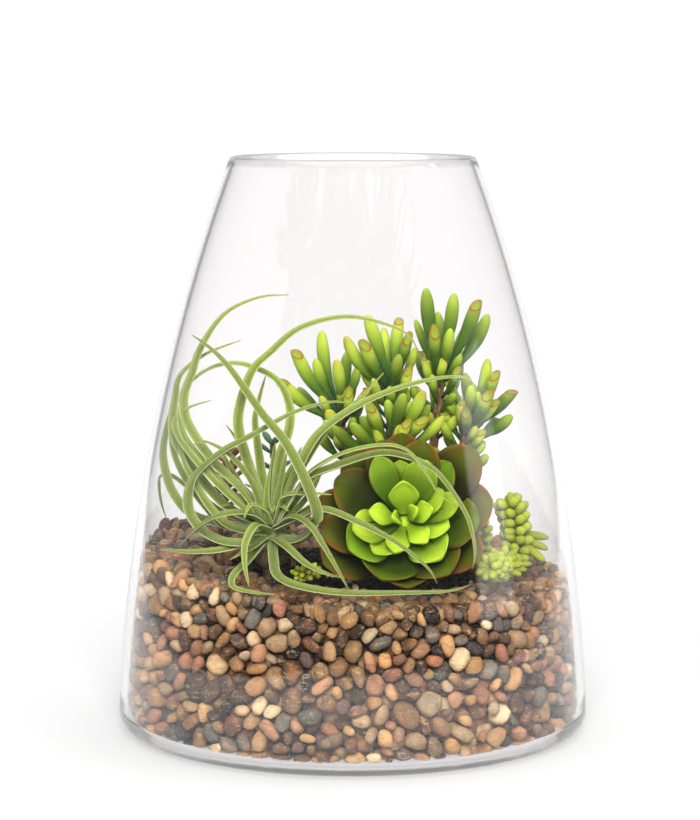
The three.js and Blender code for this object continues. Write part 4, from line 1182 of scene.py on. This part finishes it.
class TERRARIUM_OT_pebbles(bpy.types.Operator):
    """Lays the river pebbles in layers and presses them together"""

    bl_idname = "terrarium.pebbles"
    bl_label = "Pebble Bed"

    def execute(self, context):
        settings = context.scene.terrarium_bed
        outline = JarOutline(context.scene.terrarium_jar)
        rng = np.random.default_rng(settings.seed)
        sizes = (settings.smallest / MM, settings.largest / MM)
        large = (sizes[0] * 1.4, sizes[1])
        layers = {
            "pebbles_at_glass": wall_layer(rng, outline, settings.at_glass, sizes, 0.0),
            "pebbles_behind": wall_layer(rng, outline, settings.behind, large, 7.5),
            "pebbles_on_top": top_layer(rng, outline, settings.on_top, sizes, 0.0),
            "pebbles_under_top": top_layer(rng, outline, settings.under_top, large, 8.0),
            "pebbles_on_floor": floor_layer(rng, outline, settings.on_floor, sizes),
        }
        every = all_together(layers.values())
        finish = pebble_finish()
        start = 0
        for name, layer in layers.items():
            count = len(layer.middles)
            # Painted shade: pebbles of the two top layers get at most half the lightness, for the shade that
            # falls on the top of the bed
            brightest_with_painted_shade = 0.5 if name.endswith("top") else 1
            values = {"tone": rng.uniform(0, 1, count), "shade": rng.uniform(0, brightest_with_painted_shade, count)}
            piece = cloud(name, layer, finish, rounded_stones, values, Edge_points=4)
            pressed(piece.data, np.arange(start, start + count), every, outline, rng)
            settle(piece, "river_pebbles", "pebble_bed")
            start += count
        settle(self.gravel_core(outline), "river_pebbles", "pebble_bed")
        return {"FINISHED"}

    def gravel_core(self, outline):
        """The shaded gravel inside the bed, up to the soil and below the pebbles that show"""
        draft = Draft()
        turn = np.linspace(0, TURN, 96, endpoint=False)
        levels = (12, 24, 44, 58)
        walls = [float(outline.inner(z)) - GRAVEL_INSET for z in (14, 34, 54, 68)]
        rings = [on_circle(walls[0] * share, turn, levels[0]) for share in (0.05, 0.6)]
        rings += [on_circle(radius, turn, z) for radius, z in zip(walls, levels)]
        for share in [*np.linspace(0.2, 1, 13)[::-1], 0.05]:
            x, y, _ = on_circle(walls[-1] * share, turn).T
            inside = np.clip((1.12 - soil_share(x, y)) / 0.1, 0, 1)
            z = (bed_top(x, y) - 15) * (1 - inside) + (SOIL_FOOT - 2) * inside
            rings.append(np.stack([x, y, z], -1))
        draft.loft(rings)
        return draft.piece("gravel_core", gravel_finish())


class TERRARIUM_OT_soil(bpy.types.Operator):
    """Heaps the planting soil and scatters its crumbs"""

    bl_idname = "terrarium.soil"
    bl_label = "Planting Soil"

    def execute(self, context):
        settings = context.scene.terrarium_bed
        finish = soil_finish(settings)
        rng = np.random.default_rng(settings.seed + 1)
        turn = np.linspace(0, TURN, 120, endpoint=False)
        draft = Draft("tone")
        rings = []
        for share, level in ((0.05, SOIL_FOOT), (0.84, SOIL_FOOT), (0.97, SOIL_FOOT + SOIL_SKIRT)):
            x, y = soil_place(share, turn)
            rings.append(np.stack([x, y, 0 * x + level], -1))
        for share in np.linspace(1.0, 0.02, 46):
            x, y = soil_place(share, turn)
            clods = np.sin(x * 0.9 + 1.3 * np.sin(y * 0.7)) * np.sin(y * 0.8 + 1.1 * np.sin(x * 0.6))
            z = soil_top(x, y) - 1.4 + clods * 0.9 + rng.uniform(-0.3, 0.3, len(x))
            rings.append(np.stack([x, y, z], -1))
        draft.loft(rings, tone=0.0)
        settle(draft.piece("soil_mound", finish), "potting_soil", "planting_soil")

        count = settings.crumbs
        share = np.sqrt(rng.uniform(0, 0.98, count))
        x, y = soil_place(share, rng.uniform(0, TURN, count))
        halves = rng.uniform(0.7, 2.4, count)[:, None] * rng.uniform(0.5, 1.0, (count, 3))
        middles = np.stack([x, y, soil_top(x, y) - 0.8], -1)
        crumbs = Pebbles(middles, halves, random_turns(rng, count, lying=0))
        values = {"tone": rng.uniform(0, 1, count)}
        piece = cloud("soil_crumbs", crumbs, finish, rounded_stones, values, Edge_points=3)
        settle(piece, "potting_soil", "planting_soil")
        return {"FINISHED"}


# The plants


def planted_stem(draft, root, path, clear, radius_at, steps, columns=12, tone=0.0):
    """A stem, upright in its hole and a little way clear of it, that then follows a path; gives its points"""
    x, y = root
    foot = rooted(x, y)
    points = [[x, y, foot], [x, y, foot + HOLE_DEPTH + clear], *path]
    tube(draft, points, radius_at, steps=steps, columns=columns, stem=1.0, tone=tone)
    return points


def thin_stem(name, spec, clear, radius, slot, finish):
    """The stem of a sedum or sprig as a piece of its own; gives its points"""
    draft = Draft("along", "tone", "stem")
    points = planted_stem(draft, spec["root"], spec["path"], clear, lambda u: radius + 0 * u, 30, columns=8)
    settle(draft.piece(name + "_stem", finish), slot, name)
    return points


class TERRARIUM_OT_air_plant(bpy.types.Operator):
    """Lays the channelled leaves of the air plant along their paths"""

    bl_idname = "terrarium.air_plant"
    bl_label = "Air Plant"

    def execute(self, context):
        draft = Draft("along", "across", "tone", "upper", "stem")
        rng = np.random.default_rng(AIR_PLANT_SEED)
        x, y, z = AIR_PLANT_HEART
        foot = rooted(x, y)
        bulb = [[x, y, foot], [x, y, foot + 0.6 * (z - foot)], [x, y, z + 9]]

        def bulb_radius(u):
            return AIR_PLANT_STEM * np.where(u > 0.5, 1 + 0.4 * np.clip(np.sin(u * math.pi), 0, 1) ** 3, 0.7)

        bare = (np.linspace(0, 1, 20) < 0.72)[:, None].astype(float)
        tube(draft, bulb, bulb_radius, steps=20, columns=20, along=0.1, tone=0.3, stem=bare)
        for width, points in [*AIR_PLANT_LEAVES, *self.short_leaves(rng), *AIR_PLANT_FAN]:
            length = smooth_path(points, 3)[2]
            steps = int(max(length / 2.4, 24))
            places, along, _ = smooth_path(points, steps)
            u = np.linspace(0, 1, steps)
            share = (1.08 - 0.9 * u**2.2) * np.clip((1 - u) / 0.05, 0.25, 1) ** 0.5
            facing = across(BLADE_FACING, along)
            blade(draft, places, along, facing, width * share, width * share * 0.5,
                  np.maximum(1.25 * share, 0.5), tone=rng.uniform(0, 1))
        piece = draft.piece("air_plant_leaves", air_plant_finish(context.scene.terrarium_plants))
        settle(piece, "air_plant_leaf", "air_plant")
        return {"FINISHED"}

    def short_leaves(self, rng, count=16):
        """Young and withered leaves close round the heart"""
        heart = np.array(AIR_PLANT_HEART, float)
        for i in range(count):
            turn = i * LEAF_TURN
            out = np.array([math.cos(turn), math.sin(turn), 0])
            low = i % 2
            reach, rise = rng.uniform(13, 24), rng.uniform(8, 22) - 16 * low
            yield rng.uniform(3.0, 4.2), [
                heart + out * 2 + (0, 0, 7 - 7 * low),
                heart + out * reach * 0.5 + (0, 0, 12 + rise * 0.5 - 8 * low),
                heart + out * reach + (0, 0, 6 + rise)]


def finger(draft, root, tip, girth, dished, rng, columns=18):
    """A round leaf from its root to its tip, cut off slanting and hollow at the end when dished"""
    root, tip = np.array(root, float), np.array(tip, float)
    reach = tip - root
    length = np.linalg.norm(reach)
    turn = Vector((0, 1, 0)).rotation_difference(Vector(reach))
    basis = np.array(turn.to_matrix())
    r = girth / 2
    # Its rings stand evenly up the body and closer together round the end
    body_end = 0.93 if dished else 1.0
    rounding = np.sin(np.linspace(0, 1, 9) * math.pi / 2)
    u = np.concatenate([np.linspace(0, 0.66, 10), 0.7 + (body_end - 0.7) * rounding])
    # A thin root swells into the body, which ends round or rolls in over its hollow end
    grow = np.clip((u - 0.16) / 0.56, 0, 1)
    swell = 0.36 + 0.64 * grow**2 * (3 - 2 * grow)
    if dished:
        radius = np.where(u > 0.7, 1 - 0.26 * ((u - 0.7) / 0.23) ** 2, swell)
        u = np.concatenate([u, [0.936, 0.928, 0.905, 0.89, 0.882]])
        radius = np.concatenate([radius, [0.72, 0.64, 0.52, 0.32, 0.1]])
    else:
        end = np.maximum(u - 0.72, 0) / 0.28
        radius = np.where(u > 0.72, np.sqrt(np.clip(1 - end**2.3, 0, 1)), swell)
        radius[-1] = 0.06
    inner = np.arange(len(u)) >= len(u) - 4 if dished else np.zeros(len(u), bool)
    rim = np.exp(-(((np.arange(len(u)) - (len(u) - 5.6)) / 1.9) ** 2)) if dished else np.zeros(len(u))
    angle = np.linspace(0, TURN, columns, endpoint=False)
    around = np.stack([np.sin(angle), np.zeros(columns), np.cos(angle)], -1)
    ripple = 1 + 0.05 * np.sin(angle * 2 + rng.uniform(0, DRAWN_TURN))
    ripple = ripple + 0.03 * np.sin(angle * 3 + rng.uniform(0, DRAWN_TURN))
    rings = around[None] * (radius[:, None] * r * ripple[None])[..., None]
    rings[..., 1] = (u * length)[:, None]
    if dished:
        late = np.clip((u - 0.72) / 0.2, 0, 1)[:, None]
        rings[..., 1] -= rings[..., 2] * MOUTH_SLANT * late
    bend = math.sin(rng.uniform(0, DRAWN_TURN)) * 0.035 * length
    rings[..., 0] += (np.sin(np.clip(u, 0, 1) * math.pi) * bend)[:, None]
    axis = reach / length
    sag = np.array([0, 0, -1]) + axis * axis[2]
    rings = rings @ basis.T + root + sag * (np.sin(np.clip(u, 0, 1) * math.pi) * 0.08 * length)[:, None, None]
    draft.loft(rings, along=np.minimum(u, 1)[:, None], tone=rng.uniform(0, 1), rim=rim[:, None],
               cup=inner[:, None].astype(float))


class TERRARIUM_OT_finger_jades(bpy.types.Operator):
    """Grows the finger jade stems with their round, partly dished leaves"""

    bl_idname = "terrarium.finger_jades"
    bl_label = "Finger Jade"

    def execute(self, context):
        finish = jade_finish(context.scene.terrarium_plants)
        outline = JarOutline(context.scene.terrarium_jar)
        for number, (name, spec) in enumerate(FINGER_JADES.items()):
            rng = np.random.default_rng(FINGER_JADE_SEED + number)
            draft = Draft("along", "tone", "rim", "cup", "stem")
            points = planted_stem(
                draft, *spec["stem"], 4, lambda u: JADE_STEM_RADIUS * (1 - 0.12 * u), 40, tone=0.5)
            axis = smooth_path(points, 200)[0]
            for *tip, root_height, girth, dished in spec["leaves"]:
                near = axis[np.argmin(np.abs(axis[:, 2] - root_height))]
                out = unit(np.array(tip) - near)
                finger(draft, near + out * JADE_STEM_RADIUS * 0.4, tip, girth, dished == 1, rng)
            self.fill_in(draft, axis, rng, outline)
            piece = draft.piece(name + "_stem", finish)
            settle(piece, "finger_jade_leaf", name)
        return {"FINISHED"}

    def fill_in(self, draft, axis, rng, outline, count=20):
        """Shorter leaves between and below the ones of the table, which hide the stem"""
        top = axis[-1, 2]
        for i in range(count):
            low = i / (count - 1)
            near = axis[np.argmin(np.abs(axis[:, 2] - (top - 5 - 30 * low)))]
            turn = i * LEAF_TURN + rng.uniform(-0.4, 0.4)
            rise = math.radians(rng.uniform(52, 72) - 26 * low)
            flat = math.cos(rise)
            out = np.array([math.cos(turn) * flat, math.sin(turn) * flat, math.sin(rise)])
            tip = near + out * rng.uniform(19, 27) * (1 - 0.2 * low)
            room = (float(outline.inner(tip[2])) - ROOM_AT_GLASS) / np.hypot(tip[0], tip[1])
            tip[:2] *= min(room, 1)
            finger(draft, near + out * JADE_STEM_RADIUS * 0.4, tip, rng.uniform(4.4, 5.8), i % 4 == 1, rng)


def rosette_width(u):
    """The share of its full width that a rosette leaf has along its length"""
    swell = 0.3 + 0.7 * np.sin(np.minimum(u / 0.66, 1) * math.pi / 2) ** 1.6
    point = np.sqrt(np.maximum(1 - (np.clip(u - 0.66, 0, 1) / 0.34) ** 2.2, 0.01))
    return swell * point


class TERRARIUM_OT_rosette(bpy.types.Operator):
    """Opens the cupped leaves of the rosette on its bent stem"""

    bl_idname = "terrarium.rosette"
    bl_label = "Rosette"

    def execute(self, context):
        draft = Draft("along", "across", "tone", "upper", "outer", "stem")
        rng = np.random.default_rng(ROSETTE_SEED)
        middle = np.array(ROSETTE_AT, float)
        face = np.array(ROSETTE_FACE)
        x, y = ROSETTE_STEM_AT
        foot = rooted(x, y)
        path = [[x, y, foot], [x, y, foot + HOLE_DEPTH - 2], [x, y - 1, foot + HOLE_DEPTH + 8],
                middle + (0, 15, -5), middle + (0, 2, -1)]
        bare = (np.linspace(0, 1, 30) < 0.7)[:, None].astype(float)

        def stem_radius(u):
            return ROSETTE_STEM_RADIUS * (1 + np.clip(u - 0.4, 0, 1)) * np.clip((1.04 - u) / 0.1, 0, 1)

        tube(draft, path, stem_radius, steps=30, stem=bare, along=0.4, tone=0.5)
        for clock, reach, width, back, forward in ROSETTE_LEAVES:
            turn = math.radians(clock)
            # The further out a leaf stands, the flatter it lies; those that point down also reach forward
            share_out = min(max(reach - 18, 0) / 24, 1)
            out = np.array([math.cos(turn), 0, math.sin(turn)])
            dip = max(-out[2], 0) * share_out
            reach, forward = reach * (1 + 0.03 * dip), forward + 16 * dip
            shares = [min(3 / reach, 0.3), 0.4, 0.72, 1]
            points = [middle + out * reach * u + face * (-back + (back + forward) * u**2.1) for u in shares]
            places, along, _ = smooth_path(points, 61)
            closer_to_tip = [*range(0, 40, 3), *range(40, 56, 2), *range(56, 61)]
            places, along = places[closer_to_tip], along[closer_to_tip]
            u = np.array(closer_to_tip) / 60
            share = rosette_width(u)
            facing = across(unit(face - (0.45 + 0.3 * share_out) * out), along)
            blade(draft, places, along, facing, width * share, width * share * (0.44 - 0.24 * share_out),
                  np.maximum(2.6 * share, 0.5), hollow=1.8, half_columns=11,
                  tone=rng.uniform(0, 1), outer=share_out)
        piece = draft.piece("rosette_leaves", rosette_finish(context.scene.terrarium_plants))
        settle(piece, "echeveria_leaf", "echeveria_rosette")
        return {"FINISHED"}


def plump_leaves(graph, places, Round_steps, Long_steps):
    """A drop-shaped leaf at every place, with its root there"""
    sockets = {"Segments": Round_steps, "Rings": Long_steps, "Radius": 1.0}
    ball = graph.node("GeometryNodeMeshUVSphere", None, sockets)
    position = graph.node("GeometryNodeInputPosition")
    parts = graph.parts(position)
    x, y, z = (parts.other(axis) for axis in "XYZ")
    along = (z + 1) / 2
    narrow = 0.6 + along * 0.4
    place = graph.vector(x * narrow, y * narrow, along)
    drop = graph.node("GeometryNodeSetPosition", None, {"Geometry": ball, "Position": place})
    settings = {"data_type": "FLOAT", "domain": "POINT"}
    sockets = {"Geometry": drop, "Name": "along", "Value": along}
    leaf = graph.node("GeometryNodeStoreNamedAttribute", settings, sockets)
    return laid_out(graph, places, leaf)


def pointing(directions):
    """Turns that lay the Z axis along directions"""
    return np.array([np.array(Vector(way).to_track_quat("Z", "Y").to_matrix()) for way in directions])


class LeafCloud:
    """The leaves of a stem: root, direction, and half width, half thickness and length of each"""

    def __init__(self, rng):
        self.rng = rng
        self.roots = []
        self.directions = []
        self.sizes = []

    def add(self, root, direction, size, shares, length):
        self.roots.append(root)
        self.directions.append(unit(direction))
        self.sizes.append([size * shares[0], size * shares[1], length])

    def piece(self, name, finish):
        count = len(self.roots)
        places = Pebbles(np.array(self.roots), np.array(self.sizes), pointing(self.directions))
        values = {"tone": self.rng.uniform(0, 1, count), "stem": np.zeros(count)}
        return cloud(name, places, finish, plump_leaves, values, Round_steps=8, Long_steps=7)


class TERRARIUM_OT_sedums(bpy.types.Operator):
    """Covers the sedum stems with rings of plump leaves"""

    bl_idname = "terrarium.sedums"
    bl_label = "Sedum"

    def execute(self, context):
        plants = context.scene.terrarium_plants
        finish = plump_finish("sedum_leaf", plants.sedum, rgb(166, 178, 52), rgb(64, 90, 18))
        for name, spec in SEDUMS.items():
            rng = np.random.default_rng(spec["seed"])
            points = thin_stem(name, spec, 1, SEDUM_RADIUS, "sedum_leaf", finish)
            whole = smooth_path(points, 3)[2]
            leafy = 1 - smooth_path(spec["path"], 3)[2] / whole
            places, along, _ = smooth_path(points, 200)
            leaves = LeafCloud(rng)
            rings, around, size = spec["rings"], spec["around"], spec["size"]
            for ring in range(rings):
                at = int(199 * (leafy + (0.99 - leafy) * ring / (rings - 1)))
                face = across((0.2, 0.5, 0.84), along[at][None])[0]
                side = np.cross(along[at], face)
                for i in range(around):
                    turn = (i + ring % 2 * 0.5) / around * TURN + rng.uniform(-0.2, 0.2)
                    rise = 0.35 + 0.5 * ring / rings + rng.uniform(-0.12, 0.12)
                    out = unit(side * math.cos(turn) + face * math.sin(turn) + along[at] * rise)
                    root = places[at] + out * (SEDUM_RADIUS - 0.9)
                    leaves.add(root, out, size, SEDUM_LEAF, size * rng.uniform(0.9, 1.1))
            for tip in spec["pointed"]:
                near = places[int(199 * (leafy + (1 - leafy) * 0.6))].copy()
                near[2] = near[2] * 0.65 + tip[2] * 0.35
                root = places[np.argmin(np.linalg.norm(places - near, axis=1))]
                way = np.array(tip, float) - root
                leaves.add(root, way, size, SEDUM_POINTED_LEAF, np.linalg.norm(way))
            settle(leaves.piece(name + "_leaves", finish), "sedum_leaf", name)
        return {"FINISHED"}


class TERRARIUM_OT_sprigs(bpy.types.Operator):
    """Sets pairs of small oval leaves up the sprigs"""

    bl_idname = "terrarium.sprigs"
    bl_label = "Small Sprigs"

    def execute(self, context):
        plants = context.scene.terrarium_plants
        finishes = {
            "teal_jade_sprig": ("teal_leaf", plants.teal, rgb(88, 128, 92), rgb(22, 48, 34)),
            "bronze_sprig": ("bronze_leaf", plants.bronze, rgb(160, 100, 66), rgb(62, 36, 24)),
        }
        for name, spec in SPRIGS.items():
            slot, colour, tip, shadow = finishes[name]
            finish = plump_finish(slot, colour, tip, shadow)
            rng = np.random.default_rng(spec["seed"])
            points = thin_stem(name, spec, 4, SPRIG_RADIUS, slot, finish)
            places = smooth_path(points, 200)[0]
            leaves = LeafCloud(rng)
            pairs, size = spec["pairs"], spec["size"]
            for pair in range(pairs):
                root = places[int(199 * (0.6 + 0.39 * pair / (pairs - 1)))]
                for i in range(2):
                    turn = pair * 1.57 + i * math.pi + rng.uniform(0, 0.6)
                    out = unit((math.cos(turn), math.sin(turn), rng.uniform(0.5, 0.9)))
                    leaves.add(root + out * 0.6, out, size, SPRIG_LEAF, size * rng.uniform(1.1, 1.5))
            settle(leaves.piece(name + "_leaves", finish), slot, name)
        return {"FINISHED"}


# The studio


CAMERA_AT = (0, -1.3982, 0.3361)
CAMERA_DOWN = 7.12
PHOTO_HEIGHT = 820
FOCAL_PIXELS = 2774.7
AXIS_SHIFT_PIXELS = 2.7
SENSOR = 36.0


def studio_sweep(settings):
    """A floor that curves up into a backdrop"""
    look = Finish("studio_sweep")
    paper = look.noise(look.place, 900.0)
    colour = look.tinted(look.mix(0.0, settings.floor_colour, (1, 1, 1)), 0.985 + paper * 0.02)
    # Painted light: the floor's colour and glow fade towards the front, so the floor is lit only round the
    # jar
    depth = look.parts(look.place).other("Y")
    near = depth.between(-1.5, -0.45)
    colour = look.tinted(colour, 0.25 + near * 0.75)
    glow = look.mix(depth.between(0.0, 1.1), (settings.floor_glow,) * 3, (settings.glow,) * 3)
    glow = look.tinted(glow, near)
    look.surface(colour, 0.9, None, Emission_Color=glow, Emission_Strength=1.0)
    front, back, rise, bend = -2.2, 2.5, 2.4, 0.9
    left, right, widening = -0.62, 0.72, 0.36
    outline = [(front, 0.0), (0.0, 0.0), (back - bend, 0.0)]
    for turn in np.linspace(0, math.pi / 2, 16)[1:]:
        outline.append((back - bend + bend * math.sin(turn), bend - bend * math.cos(turn)))
    outline.append((back, rise))
    points = [(x * (1 + max(y, 0) * widening), y, z) for y, z in outline for x in (left, right)]
    faces = [(2 * i, 2 * i + 1, 2 * i + 3, 2 * i + 2) for i in range(len(outline) - 1)]
    mesh = bpy.data.meshes.new("studio_sweep")
    mesh.from_pydata(points, [], faces)
    mesh.shade_smooth()
    mesh.materials.append(look.material)
    return new_object("studio_sweep", mesh)


def soft_light(name, place, towards, size, power, colour=(1, 1, 1)):
    lamp = bpy.data.lights.new(name, "AREA")
    lamp.shape = "RECTANGLE"
    lamp.size, lamp.size_y = size
    lamp.energy = power
    lamp.color = colour
    holder = bpy.data.objects.new(name, lamp)
    holder.location = place
    holder.rotation_euler = (Vector(towards) - Vector(place)).to_track_quat("-Z", "Y").to_euler()
    bpy.context.scene.collection.objects.link(holder)
    return holder


class TERRARIUM_OT_studio(bpy.types.Operator):
    """Sets the pale floor, soft lights and camera"""

    bl_idname = "terrarium.studio"
    bl_label = "Studio"

    def execute(self, context):
        scene = context.scene
        settings = scene.terrarium_studio
        studio_sweep(settings)
        middle = (0, 0, 0.12)
        key = soft_light("key_light", (0.0, -1.6, 1.0), middle, (0.9, 0.9), 60)
        key.visible_glossy = key.visible_transmission = False
        soft_light("right_softbox", (1.25, -0.33, 0.30), (0, 0, 0.2), (0.5, 0.5), 1.1)
        top = soft_light("top_light", (0.2, 0.1, 1.4), middle, (0.9, 0.9), 5)
        top.visible_glossy = top.visible_transmission = False
        world = bpy.data.worlds.new("studio_room")
        world.use_nodes = True
        room = Graph(world.node_tree)
        towards = room.parts(room.node("ShaderNodeTexCoord"))
        behind, up = towards.other("Y").between(-0.5, 0.2), towards.other("Z").between(0.3, 0.7)
        light = settings.surroundings * (0.3 + behind * 0.9) + up * (0.45 + behind * 0.45)
        background = room.tree.nodes["Background"]
        room.tree.links.new(room.grey(light).socket, background.inputs["Color"])
        scene.world = world
        lens = bpy.data.cameras.new("photo_camera")
        lens.sensor_fit = "VERTICAL"
        lens.sensor_height = SENSOR
        lens.sensor_width = SENSOR
        lens.lens = FOCAL_PIXELS / PHOTO_HEIGHT * SENSOR
        lens.shift_x = -AXIS_SHIFT_PIXELS / PHOTO_HEIGHT
        lens.clip_start, lens.clip_end = 0.05, 20
        camera = bpy.data.objects.new("photo_camera", lens)
        camera.location = CAMERA_AT
        camera.rotation_euler = (math.radians(90 - CAMERA_DOWN), 0, 0)
        scene.collection.objects.link(camera)
        scene.camera = camera
        scene.view_settings.view_transform = "Standard"
        return {"FINISHED"}


class TERRARIUM_PT_panel(bpy.types.Panel):
    """Lists the steps that dress the terrarium"""

    bl_idname = "TERRARIUM_PT_panel"
    bl_label = "Terrarium"
    bl_space_type = "VIEW_3D"
    bl_region_type = "UI"
    bl_category = "Terrarium"

    def draw(self, context):
        for step in STEPS:
            self.layout.operator(step.bl_idname)
        for group in GROUPS:
            box = self.layout.box()
            settings = getattr(context.scene, group)
            for name in settings.bl_rna.properties.keys():
                if name not in ("rna_type", "name"):
                    box.prop(settings, name)


GROUPS = {
    "terrarium_jar": TerrariumJar,
    "terrarium_bed": TerrariumBed,
    "terrarium_plants": TerrariumPlants,
    "terrarium_studio": TerrariumStudio,
}
STEPS = [
    TERRARIUM_OT_jar,
    TERRARIUM_OT_pebbles,
    TERRARIUM_OT_soil,
    TERRARIUM_OT_air_plant,
    TERRARIUM_OT_finger_jades,
    TERRARIUM_OT_rosette,
    TERRARIUM_OT_sedums,
    TERRARIUM_OT_sprigs,
    TERRARIUM_OT_studio,
]


def register():
    for made in [*GROUPS.values(), *STEPS, TERRARIUM_PT_panel]:
        bpy.utils.register_class(made)
    for name, made in GROUPS.items():
        setattr(bpy.types.Scene, name, PointerProperty(type=made))


def unregister():
    for name in GROUPS:
        delattr(bpy.types.Scene, name)
    for made in [TERRARIUM_PT_panel, *reversed(STEPS), *reversed(GROUPS.values())]:
        bpy.utils.unregister_class(made)


def main():
    register()
    for step in STEPS:
        family, name = step.bl_idname.split(".")
        getattr(getattr(bpy.ops, family), name)()


if __name__ == "__main__":
    main()
